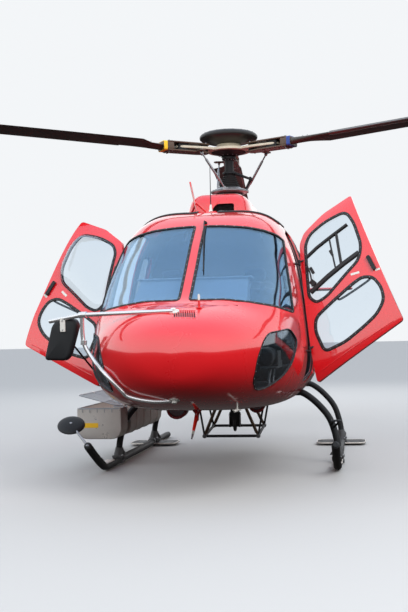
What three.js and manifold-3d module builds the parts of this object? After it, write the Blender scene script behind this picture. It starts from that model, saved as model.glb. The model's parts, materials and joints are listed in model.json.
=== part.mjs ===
// Light single-engine utility helicopter on high skids, both front doors open.
// Millimetres, +Z up, nose towards -Y, port side towards +X. The model is drawn round the main
// rotor's axis and moved at the end, so that the middle of its footprint is the origin.
import * as THREE from 'three';
import { mergeVertices } from 'three/addons/utils/BufferGeometryUtils.js';
import Module from 'manifold-3d';

const wasm = await Module();
wasm.setup();

// Driving dimensions
const gap = 0.3;               // between pieces that touch
const seam = 6;                // round a door
const sillRoom = 12;           // more room under a front door, whose leading corner dips as it swings
const skin = 32;               // thickness of door and cabin walls
const cowlSkin = 18;           // thickness of nose, cowlings and bay walls
const paneThickness = 8;
const paneDepth = 5;           // a pane lies this far under the outer skin
const hubHeight = 3300;
const rotorRadius = 5345;
const bladeChord = 350;
const bladeAngles = [-55, 65, 185];  // degrees from the nose towards port
const coning = 1.4;            // degrees
const tailRotor = { y: 6665, z: 2360, radius: 930, x: -330, chord: 185 };
const track = 1130;            // half the distance between the skids
const skidRadius = 38;
const legY = { front: -673, rear: 1052 };
const boomStart = 2000;
const boomEnd = 6780;
const bulkheadY = -420;
const bulkheadThickness = 20;
const floorTop = 830;
const openLeft = 105;          // degrees that the front doors stand open
const openRight = 75;
const origin = { x: 258.742, y: 2015 };

// Small vector and solid tools
const vec = (x, y, z) => new THREE.Vector3(x, y, z);
const rad = THREE.MathUtils.degToRad;

function solidOf(geometry) {
  const bare = new THREE.BufferGeometry();
  bare.setAttribute('position', geometry.attributes.position);
  if (geometry.index) bare.setIndex(geometry.index);
  const merged = mergeVertices(bare, 1e-3);
  const positions = new Float32Array(merged.attributes.position.array);
  const corners = [];
  const source = merged.index.array;
  for (let i = 0; i < source.length; i += 3) {
    const [a, b, c] = [source[i], source[i + 1], source[i + 2]];
    if (a !== b && b !== c && c !== a) corners.push(a, b, c);
  }
  const at = (i) => new THREE.Vector3().fromArray(positions, 3 * i);
  let volume = 0;
  for (let i = 0; i < corners.length; i += 3) {
    volume += at(corners[i]).dot(at(corners[i + 1]).cross(at(corners[i + 2])));
  }
  if (volume < 0) corners.reverse();
  const mesh = new wasm.Mesh({
    numProp: 3, vertProperties: positions, triVerts: new Uint32Array(corners),
  });
  return new wasm.Manifold(mesh);
}

function geometryOf(solid) {
  const mesh = solid.getMesh();
  const geometry = new THREE.BufferGeometry();
  const positions = new Float32Array(mesh.numVert * 3);
  for (let i = 0; i < mesh.numVert; i += 1) {
    for (let k = 0; k < 3; k += 1) {
      positions[3 * i + k] = mesh.vertProperties[mesh.numProp * i + k];
    }
  }
  geometry.setAttribute('position', new THREE.BufferAttribute(positions, 3));
  geometry.setIndex(new THREE.BufferAttribute(new Uint32Array(mesh.triVerts), 1));
  return geometry;
}

const moved = (solid, matrix) => solid.transform([...matrix.elements]);
const join = (...solids) => solids.reduce((all, one) => all.add(one));
const less = (solid, ...cutters) => cutters.reduce((all, one) => all.subtract(one), solid);
const mirrored = (solid) => solid.mirror([1, 0, 0]);
const both = (solid) => solid.add(mirrored(solid));

function box(x0, x1, y0, y1, z0, z1) {
  const geometry = new THREE.BoxGeometry(x1 - x0, y1 - y0, z1 - z0);
  return solidOf(geometry.translate((x0 + x1) / 2, (y0 + y1) / 2, (z0 + z1) / 2));
}

// An outline pushed along one axis. Its two numbers are (y, z), (x, z) or (x, y).
const pushAxes = {
  x: new THREE.Matrix4().makeBasis(vec(0, 1, 0), vec(0, 0, 1), vec(1, 0, 0)),
  y: new THREE.Matrix4().makeBasis(vec(1, 0, 0), vec(0, 0, 1), vec(0, -1, 0)),
  z: new THREE.Matrix4(),
};
function prism(outline, axis, from, to) {
  const shape = new THREE.Shape(outline.map(([u, v]) => new THREE.Vector2(u, v)));
  const geometry = new THREE.ExtrudeGeometry(shape, { depth: to - from, bevelEnabled: false });
  geometry.translate(0, 0, axis === 'y' ? -to : from);
  return solidOf(geometry.applyMatrix4(pushAxes[axis]));
}

function between(from, to) {
  const direction = to.clone().sub(from);
  const turn = new THREE.Quaternion().setFromUnitVectors(vec(0, 1, 0), direction.clone().normalize());
  const middle = from.clone().add(to).multiplyScalar(0.5);
  return new THREE.Matrix4().compose(middle, turn, vec(1, 1, 1));
}
function cone(from, to, startRadius, endRadius, sides = 12) {
  const length = from.distanceTo(to);
  const geometry = new THREE.CylinderGeometry(endRadius, startRadius, length, sides);
  return solidOf(geometry.applyMatrix4(between(from, to)));
}
const rod = (from, to, radius, sides = 8) => cone(from, to, radius, radius, sides);

function tube(points, radius, { sides = 10, steps = 20, tension = 0.5 } = {}) {
  const path = new THREE.CatmullRomCurve3(points, false, 'catmullrom', tension);
  const shape = new THREE.Shape();
  for (let i = 0; i < sides; i += 1) {
    const a = (2 * Math.PI * i) / sides;
    const place = [radius * Math.cos(a), radius * Math.sin(a)];
    if (i === 0) shape.moveTo(...place);
    else shape.lineTo(...place);
  }
  return solidOf(new THREE.ExtrudeGeometry(shape, { extrudePath: path, steps }));
}

// A profile of (radius, height) turned round the main rotor's axis
function turned(profile, sides = 24) {
  const lathe = new THREE.LatheGeometry(profile.map(([r, z]) => new THREE.Vector2(r, z)), sides);
  return solidOf(lathe.rotateX(Math.PI / 2));
}

// A closed skin over rings of equal point counts, with a fan over each end.
function skinOver(rings) {
  const count = rings[0].length;
  const points = rings.flat();
  const faces = [];
  for (let r = 0; r + 1 < rings.length; r += 1) {
    for (let i = 0; i < count; i += 1) {
      const j = (i + 1) % count;
      const [a, b] = [r * count + i, r * count + j];
      const [c, d] = [a + count, b + count];
      faces.push(a, b, d, a, d, c);
    }
  }
  const ends = [[rings[0], 0, true], [rings.at(-1), points.length - count, false]];
  for (const [ring, start, turned] of ends) {
    const middle = ring.reduce((sum, p) => sum.add(p), vec(0, 0, 0)).divideScalar(count);
    const centre = points.push(middle) - 1;
    for (let i = 0; i < count; i += 1) {
      const j = (i + 1) % count;
      faces.push(centre, start + (turned ? j : i), start + (turned ? i : j));
    }
  }
  const geometry = new THREE.BufferGeometry().setFromPoints(points);
  geometry.setIndex(faces);
  return solidOf(geometry);
}

// Fuselage sections: station y, half width, bottom, widest height, top, how square the section
// is above and below its widest height, and how far its sides lean in towards the top.
const sections = [
  { y: -3450, half: 50, bottom: 1095, widest: 1140, top: 1185, upper: 2.0, lower: 2.0, lean: 0 },
  { y: -3420, half: 240, bottom: 975, widest: 1140, top: 1300, upper: 2.1, lower: 2.1, lean: 0 },
  { y: -3330, half: 420, bottom: 875, widest: 1150, top: 1400, upper: 2.2, lower: 2.2, lean: 0 },
  { y: -3150, half: 600, bottom: 790, widest: 1170, top: 1490, upper: 2.3, lower: 2.4, lean: 0.02 },
  { y: -2900, half: 740, bottom: 730, widest: 1190, top: 1575, upper: 2.5, lower: 2.7, lean: 0.04 },
  { y: -2600, half: 835, bottom: 690, widest: 1200, top: 1800, upper: 2.9, lower: 3.1, lean: 0.09 },
  { y: -2200, half: 900, bottom: 660, widest: 1210, top: 2130, upper: 3.7, lower: 3.6, lean: 0.14 },
  { y: -1800, half: 930, bottom: 650, widest: 1220, top: 2380, upper: 4.2, lower: 3.8, lean: 0.17 },
  { y: -1400, half: 937, bottom: 650, widest: 1230, top: 2460, upper: 4.5, lower: 3.8, lean: 0.18 },
  { y: -800, half: 937, bottom: 650, widest: 1240, top: 2480, upper: 4.5, lower: 3.8, lean: 0.18 },
  { y: -100, half: 925, bottom: 655, widest: 1250, top: 2440, upper: 4.2, lower: 3.6, lean: 0.18 },
  { y: 500, half: 840, bottom: 700, widest: 1310, top: 2250, upper: 3.6, lower: 3.2, lean: 0.16 },
  { y: 1100, half: 670, bottom: 860, widest: 1460, top: 2130, upper: 3.0, lower: 2.7, lean: 0.1 },
  { y: 1600, half: 450, bottom: 1170, widest: 1680, top: 2120, upper: 2.4, lower: 2.3, lean: 0.04 },
  { y: 2000, half: 310, bottom: 1520, widest: 1830, top: 2140, upper: 2.0, lower: 2.0, lean: 0 },
];

// Slopes of a smooth curve through the table that never swings past its values.
function slopesOf(column) {
  const rise = [];
  for (let i = 0; i + 1 < sections.length; i += 1) {
    const [a, b] = [sections[i], sections[i + 1]];
    rise.push((b[column] - a[column]) / (b.y - a.y));
  }
  return sections.map((section, i) => {
    if (i === 0 || i === rise.length) return rise[Math.min(i, rise.length - 1)];
    if (rise[i - 1] * rise[i] <= 0) return 0;
    const before = section.y - sections[i - 1].y;
    const after = sections[i + 1].y - section.y;
    const weights = (2 * after + before) / rise[i - 1] + (after + 2 * before) / rise[i];
    return (3 * (before + after)) / weights;
  });
}
const columns = ['half', 'bottom', 'widest', 'top', 'upper', 'lower', 'lean'];
const slopes = Object.fromEntries(columns.map((column) => [column, slopesOf(column)]));

function sectionAt(y) {
  const last = sections.length - 2;
  const found = sections.findLastIndex((section) => section.y <= y);
  const i = Math.min(Math.max(found, 0), last);
  const [a, b] = [sections[i], sections[i + 1]];
  const h = b.y - a.y;
  const t = Math.min(Math.max((y - a.y) / h, 0), 1);
  const curve = (column) => (2 * t ** 3 - 3 * t ** 2 + 1) * a[column]
    + (t ** 3 - 2 * t ** 2 + t) * h * slopes[column][i]
    + (3 * t ** 2 - 2 * t ** 3) * b[column] + (t ** 3 - t ** 2) * h * slopes[column][i + 1];
  return Object.fromEntries(columns.map((column) => [column, curve(column)]));
}

// Half the width of the fuselage at a station and height
function halfWidth(y, z) {
  const s = sectionAt(y);
  const t = (z - s.widest) / (z > s.widest ? s.top - s.widest : s.bottom - s.widest);
  const power = z > s.widest ? s.upper : s.lower;
  const lean = z > s.widest ? s.lean * t : 0;
  return s.half * (1 - lean) * Math.max(1 - t ** power, 0) ** (1 / power);
}

const ringSides = 26;
function hullRing(y, inset) {
  const s = sectionAt(y);
  const points = [];
  for (let i = 0; i < ringSides; i += 1) {
    const a = (2 * Math.PI * i) / ringSides;
    const [c, n] = [Math.cos(a), Math.sin(a)];
    const power = 2 / (n >= 0 ? s.upper : s.lower);
    const height = (n >= 0 ? s.top - s.widest : s.widest - s.bottom) - inset;
    const rise = Math.sign(n) * Math.abs(n) ** power;
    const lean = 1 - s.lean * Math.max(rise, 0);
    const x = (s.half - inset) * Math.sign(c) * Math.abs(c) ** power * lean;
    points.push(vec(x, y, s.widest + height * rise));
  }
  return points;
}

const stations = [
  -3450, -3420, -3350, -3220, -3020, -2760, -2450, -2120, -1780, -1400, -700, 0, 600, 1100, 1600, 2000,
];
function hull(inset, front = -3450, rear = 2000) {
  const kept = stations.filter((y) => y > front + 2 && y < rear - 2);
  return skinOver([front, ...kept, rear].map((y) => hullRing(y, inset)));
}

const outer = hull(0);
const grown = hull(-gap, -3450, 2000 + gap);
const wallFor = (thickness) => outer.subtract(hull(thickness, -3450 + thickness + 30, 2000 - thickness));
const cabinWall = wallFor(skin);
const thinWall = wallFor(cowlSkin);
const paneWall = hull(paneDepth).subtract(hull(paneDepth + paneThickness, -3400, 1980));
const offHull = (solid) => solid.subtract(grown);

// Moves the points of an outline outwards by a distance, negative for inwards.
function offset(outline, distance) {
  const area = outline.reduce((sum, [x, y], i) => {
    const [u, v] = outline[(i + 1) % outline.length];
    return sum + x * v - u * y;
  }, 0);
  const d = distance * Math.sign(area);
  return outline.map((point, i) => {
    const before = outline.at(i - 1);
    const after = outline[(i + 1) % outline.length];
    const normal = (p, q) => {
      const length = Math.hypot(q[0] - p[0], q[1] - p[1]);
      return [(q[1] - p[1]) / length, (p[0] - q[0]) / length];
    };
    const [m, n] = [normal(before, point), normal(point, after)];
    const scale = d / (1 + m[0] * n[0] + m[1] * n[1]);
    return [point[0] + scale * (m[0] + n[0]), point[1] + scale * (m[1] + n[1])];
  });
}

// Rounds each corner of an outline with a short arc.
function rounded(outline, radius, steps = 3) {
  return outline.flatMap((point, i) => {
    const here = new THREE.Vector2(...point);
    const before = new THREE.Vector2(...outline.at(i - 1)).sub(here);
    const after = new THREE.Vector2(...outline[(i + 1) % outline.length]).sub(here);
    const reach = Math.min(radius, before.length() * 0.45, after.length() * 0.45);
    const start = here.clone().add(before.setLength(reach));
    const end = here.clone().add(after.setLength(reach));
    const curve = new THREE.QuadraticBezierCurve(start, here, end);
    return curve.getPoints(steps).map((p) => [p.x, p.y]);
  });
}

// Door and window outlines in side view, (y, z), and the front door's hinge axis
const doorFront = (z) => -2140 + 0.373 * (z - 890);
const frontDoor = rounded([
  [doorFront(890), 890], [-1252, 930], [-1060, 2205], [-1360, 2235], [-1600, 2195], [doorFront(2120), 2120],
], 90);
const frontUpperWindow = rounded([
  [-1830, 1590], [-1790, 1500], [-1400, 1500], [-1250, 1580], [-1165, 1960], [-1215, 2095], [-1570, 2110],
  [-1650, 2020],
], 70);
const frontLowerWindow = rounded([
  [-1940, 1060], [-1450, 1045], [-1340, 1130], [-1330, 1370], [-1870, 1390], [-1915, 1330],
], 60);
const rearDoor = rounded([
  [-1180, 945], [-470, 945], [-470, 2180], [-560, 2230], [-990, 2215],
], 60);
const rearWindow = rounded([
  [-1075, 1420], [-560, 1420], [-560, 2070], [-640, 2120], [-955, 2110],
], 60);
const bayDoor = rounded([[40, 860], [700, 880], [700, 1560], [40, 1560]], 50);
const bayHinge = (y) => vec(halfWidth(y, 1569) + 26, y, 1569);
const hinges = {
  front: { bottom: vec(964, -2133, 920), top: vec(813, -1663, 2180), places: [0.19, 0.8] },
  bay: { bottom: bayHinge(60), top: bayHinge(700), places: [0.15, 0.85] },
};
const knuckle = { radius: 11, length: 26, arm: 8, reach: 75 };

// The two halves of a hinge at one place on its axis. Each half is a barrel with an arm to its wall.
function hingeHalves(hinge, place, fixedEnd, movingEnd) {
  const along = hinge.top.clone().sub(hinge.bottom).normalize();
  const middle = hinge.bottom.clone().lerp(hinge.top, place);
  const half = (sign, end) => {
    const near = middle.clone().addScaledVector(along, (sign * gap) / 2);
    const far = middle.clone().addScaledVector(along, sign * knuckle.length);
    const root = middle.clone().addScaledVector(along, (sign * knuckle.length) / 2);
    return join(rod(near, far, knuckle.radius), rod(root, end(root), knuckle.arm, 6));
  };
  return { fixed: half(-1, fixedEnd), moving: half(1, movingEnd) };
}
// Points in the wall, ahead of the axis or behind it
const wallPoint = (step, depth) => (p) => vec(halfWidth(p.y + step, p.z) - depth, p.y + step, p.z);
const frontHinges = hinges.front.places.map((place) => hingeHalves(hinges.front, place,
  wallPoint(-knuckle.reach, cowlSkin / 2), wallPoint(knuckle.reach / 2, skin / 2)));
const bayEnd = (rise) => (p) => vec(halfWidth(p.y, p.z + rise) - cowlSkin / 2, p.y, p.z + rise);
const bayHinges = hinges.bay.places.map(
  (place) => hingeHalves(hinges.bay, place, bayEnd(60), bayEnd(-60)));

// Windscreen panes in front view, (x, z), and a chin window in a view turned 45 degrees, (u, z)
const windscreen = [
  [58, 1575], [326, 1572], [502, 1549], [695, 1515], [835, 1466], [800, 1700], [722, 2130],
  [663, 2176], [554, 2212], [412, 2241], [217, 2260], [46, 2266],
];
const chinWindow = rounded([
  [-1640, 1310], [-1285, 1345], [-1135, 1245], [-1270, 1070], [-1440, 950], [-1615, 872], [-1720, 862],
  [-1812, 937], [-1817, 1104], [-1735, 1245],
], 60, 2);
const skylight = rounded([[110, -1650], [640, -1500], [640, -900], [110, -900]], 50);

function sideCut(outline, side) {
  return side > 0 ? prism(outline, 'x', 250, 1400) : prism(outline, 'x', -1400, -250);
}
const chinTurn = new THREE.Matrix4().makeRotationZ(rad(-45));
function chinCut(outline) {
  return moved(prism(outline, 'x', 700, 3600), chinTurn);
}

// Nose, windscreen and cabin
const materials = {};
function material(name, color, roughness, metalness = 0) {
  materials[name] = new THREE.MeshStandardMaterial({ color, roughness, metalness });
}
material('red', '#c81d1d', 0.3);
material('glass', '#2b3a42', 0.08);
material('black', '#17181a', 0.55);
material('silver', '#b9bcc0', 0.35, 0.8);
material('steel', '#8d9196', 0.3, 0.9);
material('blade', '#4d463f', 0.5);
material('grey', '#6d7074', 0.7);
material('white', '#e6e4df', 0.45);

const model = new THREE.Group();
model.position.set(-origin.x, -origin.y, 0);
function add(name, solid, finish) {
  const mesh = new THREE.Mesh(geometryOf(solid), materials[finish]);
  mesh.name = name;
  model.add(mesh);
}

// Landing lights under the belly: place of the middle and radius
const landingLights = [{ x: -288, z: 645, radius: 96 }, { x: 440, z: 676, radius: 76 }];

const footLine = [[-3600, 1530], [-2900, 1530], [-2430, 1415], [doorFront(1415) - seam, 1415]];
// A port piece and its mirror image
function addPair(name, solid, finish) {
  add(`${name}_left`, solid, finish);
  add(`${name}_right`, mirrored(solid), finish);
}
function buildNose() {
  const floorFront = -2720;
  const outline = [
    [-3600, 300], [floorFront - gap, 300], [floorFront - gap, floorTop + gap],
    [doorFront(floorTop) - seam, floorTop + gap], ...footLine.toReversed(),
  ];
  const chins = both(chinCut(chinWindow));
  const shell = thinWall.intersect(prism(outline, 'x', -1200, 1200));
  add('nose_shell', join(shell.subtract(chins), both(frontHinges[0].fixed)), 'red');
  addPair('chin_window', paneWall.intersect(chinCut(offset(chinWindow, -gap))), 'glass');
  const slab = outer.intersect(box(-1200, 1200, floorFront, bulkheadY - gap, 300, floorTop));
  const lights = landingLights.map(
    ({ x, z, radius }) => rod(vec(x, -1810, z), vec(x, -1640, z), radius, 20));
  const cutter = prism([[-2560, 720], [-2440, 720], [-2450, 600], [-2530, 590]], 'x', -18, 52);
  const spike = cone(vec(17, -2500, 610), vec(17, -2560, 440), 16, 6);
  add('cabin_floor', join(slab, ...lights, cutter, spike).subtract(leg(legY.front, gap)), 'red');
}

function buildCabin() {
  const front = prism(windscreen, 'y', -3600, -1730);
  const screens = both(front);
  const pane = prism(offset(windscreen, -gap), 'y', -3600, -1730 - gap);
  const roofLine = 2030;
  const roofFront = doorFront(roofLine) - seam;
  const frameOutline = [
    ...footLine.map(([y, z]) => [y, z + gap]), [roofFront, roofLine], [roofFront, 2500], [-3600, 2500],
  ];
  const frame = cabinWall.intersect(prism(frameOutline, 'x', -1200, 1200));
  add('windscreen_frame', join(frame.subtract(screens), both(frontHinges[1].fixed)), 'red');
  addPair('windscreen', paneWall.intersect(pane), 'glass');
  const lights = both(prism(skylight, 'z', 2000, 2700));
  const doorway = offset(frontDoor, seam);
  const lowered = doorway.map(([y, z]) => [y, z - sillRoom]);
  const doors = [1, -1].map((side) => join(
    sideCut(doorway, side), sideCut(lowered, side), sideCut(offset(rearDoor, gap), side)));
  const behind = [
    [doorFront(floorTop) - seam + gap, floorTop + gap], [bulkheadY - gap, floorTop + gap],
    [bulkheadY - gap, roofLine], [roofFront + gap, roofLine],
  ];
  const roof = [
    [roofFront + gap, roofLine + gap], [bulkheadY - gap, roofLine + gap],
    [bulkheadY - gap, 2600], [roofFront + gap, 2600],
  ];
  const roofPanel = cabinWall.intersect(prism(roof, 'x', -1200, 1200));
  const whip = join(cone(vec(-36, -1150, 2430), vec(-36, -1150, 2540), 30, 14),
    rod(vec(-36, -1150, 2535), vec(-36, -1150, 2944), 5, 6)).subtract(hull(skin - 2));
  add('roof_panel', join(less(roofPanel, lights, ...doors), whip), 'red');
  const roofPane = prism(offset(skylight, -gap), 'z', 2000, 2700);
  addPair('skylight', paneWall.intersect(roofPane), 'glass');
  const sides = less(cabinWall.intersect(prism(behind, 'x', 0, 1200)), ...doors);
  addPair('side_frame', sides, 'red');
  const across = box(-1200, 1200, bulkheadY, bulkheadY + bulkheadThickness, 300, 2700);
  add('rear_bulkhead', outer.intersect(across), 'grey');
}

// Doors are cut from the same wall as the frames, and swung to where they stand
function swing(solid, side, degrees) {
  const at = hinges.front.bottom.clone();
  const axis = hinges.front.top.clone().sub(at).normalize();
  if (side < 0) {
    axis.x *= -1;
    at.x *= -1;
  }
  const turn = new THREE.Matrix4().makeTranslation(at)
    .multiply(new THREE.Matrix4().makeRotationAxis(axis, rad(-side * degrees)))
    .multiply(new THREE.Matrix4().makeTranslation(at.clone().negate()));
  return moved(solid, turn);
}

// The starboard upper window bulges outwards, so that the pilot can look down past the door
const bubble = { y: -1468, z: 1782, half: vec(150, 236, 236), lean: 12 };
function bulged(pane) {
  const { y, z, half, lean } = bubble;
  const place = new THREE.Matrix4().makeTranslation(-halfWidth(y, z) + 18, y, z)
    .multiply(new THREE.Matrix4().makeRotationY(rad(lean)));
  const egg = (wall) => solidOf(new THREE.SphereGeometry(1, 24, 14).rotateZ(Math.PI / 2)
    .scale(half.x - wall, half.y - wall, half.z - wall).applyMatrix4(place));
  const dome = less(egg(0), egg(paneThickness), hull(paneDepth + paneThickness / 2));
  return join(pane.subtract(egg(paneThickness)), dome);
}

function buildDoors() {
  for (const [side, name, open] of [[1, 'left', openLeft], [-1, 'right', openRight]]) {
    const windows = join(sideCut(frontUpperWindow, side), sideCut(frontLowerWindow, side));
    const halves = (set) => set.map((one) => (side > 0 ? one.moving : mirrored(one.moving)));
    const panel = cabinWall.intersect(sideCut(frontDoor, side)).subtract(windows);
    const door = join(panel, ...halves(frontHinges));
    add(`front_door_${name}`, swing(door, side, open), 'red');
    for (const [outline, place] of [[frontUpperWindow, 'upper'], [frontLowerWindow, 'lower']]) {
      const flat = paneWall.intersect(sideCut(offset(outline, -gap), side));
      const pane = side < 0 && place === 'upper' ? bulged(flat) : flat;
      add(`front_door_${name}_${place}_window`, swing(pane, side, open), 'glass');
    }
    const rear = cabinWall.intersect(sideCut(rearDoor, side)).subtract(sideCut(rearWindow, side));
    const rearPane = paneWall.intersect(sideCut(offset(rearWindow, -gap), side));
    add(`rear_door_${name}`, rear, 'red');
    add(`rear_door_${name}_window`, rearPane, 'glass');
  }
}

function buildCentreBody() {
  const bay = box(-1200, 1200, bulkheadY + bulkheadThickness + gap, 2100, 300, 2700);
  const openings = [1, -1].map((side) => sideCut(offset(bayDoor, seam), side));
  const lugs = bayHinges.map((one) => both(one.fixed));
  add('centre_body', join(less(thinWall.intersect(bay), ...openings), ...lugs), 'red');
  const panel = thinWall.intersect(sideCut(bayDoor, 1));
  addPair('bay_door', join(panel, ...bayHinges.map((one) => one.moving)), 'red');
}

// Cowlings and what they cover
const cowling = { front: -960, split: 360, rear: 1760, top: 2725, half: 275, base: 420 };
function cowlRing(y, top, half, base) {
  const bottom = 1950;
  const waist = bottom + 0.35 * (top - bottom);
  const outline = rounded([
    [-base, bottom], [base, bottom], [base * 0.97, waist], [half, top], [-half, top], [-base * 0.97, waist],
  ], 90, 3);
  return outline.map(([x, z]) => vec(x, y, z));
}
function cowlSolid(inset, table) {
  return skinOver(table.map(
    ([y, top, half, base]) => cowlRing(y, top - inset, half - inset, base - inset)));
}

function buildCowlings() {
  const { front, split, rear, top, half, base } = cowling;
  const forward = [[front, top - 170, half - 60, base - 90], [front + 60, top - 30, half - 20, base - 30],
    [front + 260, top, half, base], [split, top, half, base + 20]];
  const aft = [[split + gap, top, half, base + 20], [split + 700, top - 25, half - 20, base - 40],
    [rear - 60, top - 130, half - 70, base - 170], [rear, top - 190, half - 110, base - 210]];
  const inside = (table, ahead, behind) => cowlSolid(cowlSkin, table.map(([y, ...rest], i) => [
    y + (i === 0 ? ahead : 0) + (i === table.length - 1 ? behind : 0), ...rest,
  ]));
  const intake = box(-105, 125, front - 10, front + 320, 2480, 2600);
  const mastHole = rod(vec(0, 0, 2600), vec(0, 0, 2900), 130 + gap, 24);
  const forwardShell = less(cowlSolid(0, forward), inside(forward, cowlSkin, 50), intake, mastHole);
  add('transmission_cowling', offHull(forwardShell), 'red');
  const exhaust = (radius) => rod(vec(0, 1600, 2430), vec(0, 2060, 2470), radius, 20);
  const aftShell = less(cowlSolid(0, aft), inside(aft, -50, -cowlSkin), exhaust(150 + 2 * gap));
  add('engine_cowling', offHull(aftShell), 'red');
  const engineRear = 1585;
  const engine = rod(vec(0, 720, 2430), vec(0, engineRear, 2430), 165, 20);
  const driveshaft = rod(vec(0, 100, 2550), vec(0, 800, 2440), 45);
  const upright = (low, high, start, end = start) => cone(vec(0, 0, low), vec(0, 0, high), start, end, 24);
  const gearbox = join(upright(2490, 2645, 190), upright(2640, 2790, 130, 105), upright(2790, 2830, 150));
  add('engine_and_gearbox', join(engine, gearbox.subtract(upright(2690, 2900, 49)), driveshaft), 'grey');
  const bore = rod(vec(0, 1650, 2435), vec(0, 2100, 2474), 142, 20);
  const ahead = box(-200, 200, 1500, engineRear + gap, 2200, 2700);
  add('exhaust_pipe', less(exhaust(150), bore, ahead), 'steel');
}

// Tail
const boomRadius = (y) => 300 - ((y - boomStart) / (boomEnd - boomStart)) * 150;
const boomHeight = (y) => 1830 + ((y - boomStart) / (boomEnd - boomStart)) * 290;
function boomSolid(extra, from = boomStart + gap, to = boomEnd) {
  const radiusAt = (y) => boomRadius(y) + extra;
  return cone(vec(0, from, boomHeight(from)), vec(0, to, boomHeight(to)), radiusAt(from), radiusAt(to), 28);
}

// A fin or wing panel between two aerofoil sections
const foil = [[0, 0], [0.03, 0.4], [0.12, 0.8], [0.3, 1], [0.6, 0.7], [1, 0.06]];
function foilRing(leading, chord, thickness, place) {
  const upper = foil.map(([u, v]) => [leading + u * chord, (v * thickness) / 2]);
  const lower = foil.slice(1).reverse().map(([u, v]) => [leading + u * chord, (-v * thickness) / 2]);
  return [...upper, ...lower].map(([along, across]) => place(along, across));
}

function upperFin(extra) {
  const table = [[2130, 5960, 900, 95], [3130, 6760, 480, 60], [3160, 6820, 380, 20]];
  return skinOver(table.map(([z, leading, chord, thickness]) => foilRing(leading - extra, chord + 2 * extra,
    thickness + 3 * extra, (a, b) => vec(b, a, z))));
}
function buildTail() {
  const wing = (extra) => skinOver([-1265, -1200, 1200, 1265].map((x, i) => {
    const [leading, chord, thickness] = i % 3 === 0 ? [5240, 300, 20] : [5180, 450, 55];
    return foilRing(leading - extra, chord + 2 * extra, thickness + 3 * extra,
      (a, b) => vec(x, a, boomHeight(5400) + b));
  }));
  add('horizontal_stabilizer', wing(0), 'red');
  add('tail_boom', offHull(boomSolid(0, boomStart - 60)).subtract(wing(gap)), 'red');
  const keep = boomSolid(gap, boomStart - 5, boomEnd + 5);
  const cover = skinOver([2100, 2600, 4600, 5880, 5990].map((y, i) => {
    const z = boomHeight(y) + boomRadius(y);
    const half = [40, 75, 70, 65, 30][i];
    const rise = [30, 85, 75, 70, 30][i];
    const right = [[half, -60], [half, rise * 0.5], [half * 0.6, rise]];
    const left = right.map(([x, dz]) => [-x, dz]).reverse();
    return [...right, ...left].map(([x, dz]) => vec(x, y, z + dz));
  }));
  add('driveshaft_cover', offHull(cover.subtract(keep)), 'red');
  add('upper_fin', upperFin(0).subtract(keep), 'red');
  const lower = skinOver([[2080, 6100, 620, 95], [1190, 7080, 390, 55], [1160, 7130, 350, 20]].map(
    ([z, leading, chord, thickness]) => foilRing(leading, chord, thickness, (a, b) => vec(b, a, z))));
  const guard = tube([
    vec(0, 6560, 1600), vec(0, 6720, 1290), vec(0, 6960, 1100), vec(0, 7250, 1085), vec(0, 7420, 1180),
  ], 15, { sides: 8, steps: 14 });
  add('lower_fin', join(lower, guard).subtract(keep), 'red');
}

function buildTailRotor() {
  const { x, y, z, radius, chord } = tailRotor;
  const housing = join(rod(vec(-20, y, z), vec(-230, y, z), 95, 20),
    cone(vec(-230, y, z), vec(-270, y, z), 95, 60, 20));
  const bore = rod(vec(-150, y, z), vec(-300, y, z), 25.8, 16);
  add('tail_gearbox', less(housing, bore, upperFin(gap), boomSolid(gap, 6000, boomEnd)), 'silver');
  const shaft = rod(vec(-180, y, z), vec(x - 30, y, z), 25, 16);
  const hub = box(x - 35, x + 35, y - 60, y + 60, z - 150, z + 150);
  const bladeTable = [[150, 80, 30], [300, chord, 24], [radius - 60, chord, 22], [radius, chord, 10]];
  const blade = (side) => skinOver(bladeTable.map(([r, wide, thick]) => foilRing(
    -wide / 2, wide, thick, (a, b) => vec(x + b, y + side * a, z + side * r))));
  add('tail_rotor', join(shaft, hub, blade(1), blade(-1)), 'blade');
}

// Main rotor: everything here turns with the mast
const aroundHub = (solid, degrees) => moved(solid, new THREE.Matrix4().makeRotationZ(rad(degrees)));

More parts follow.
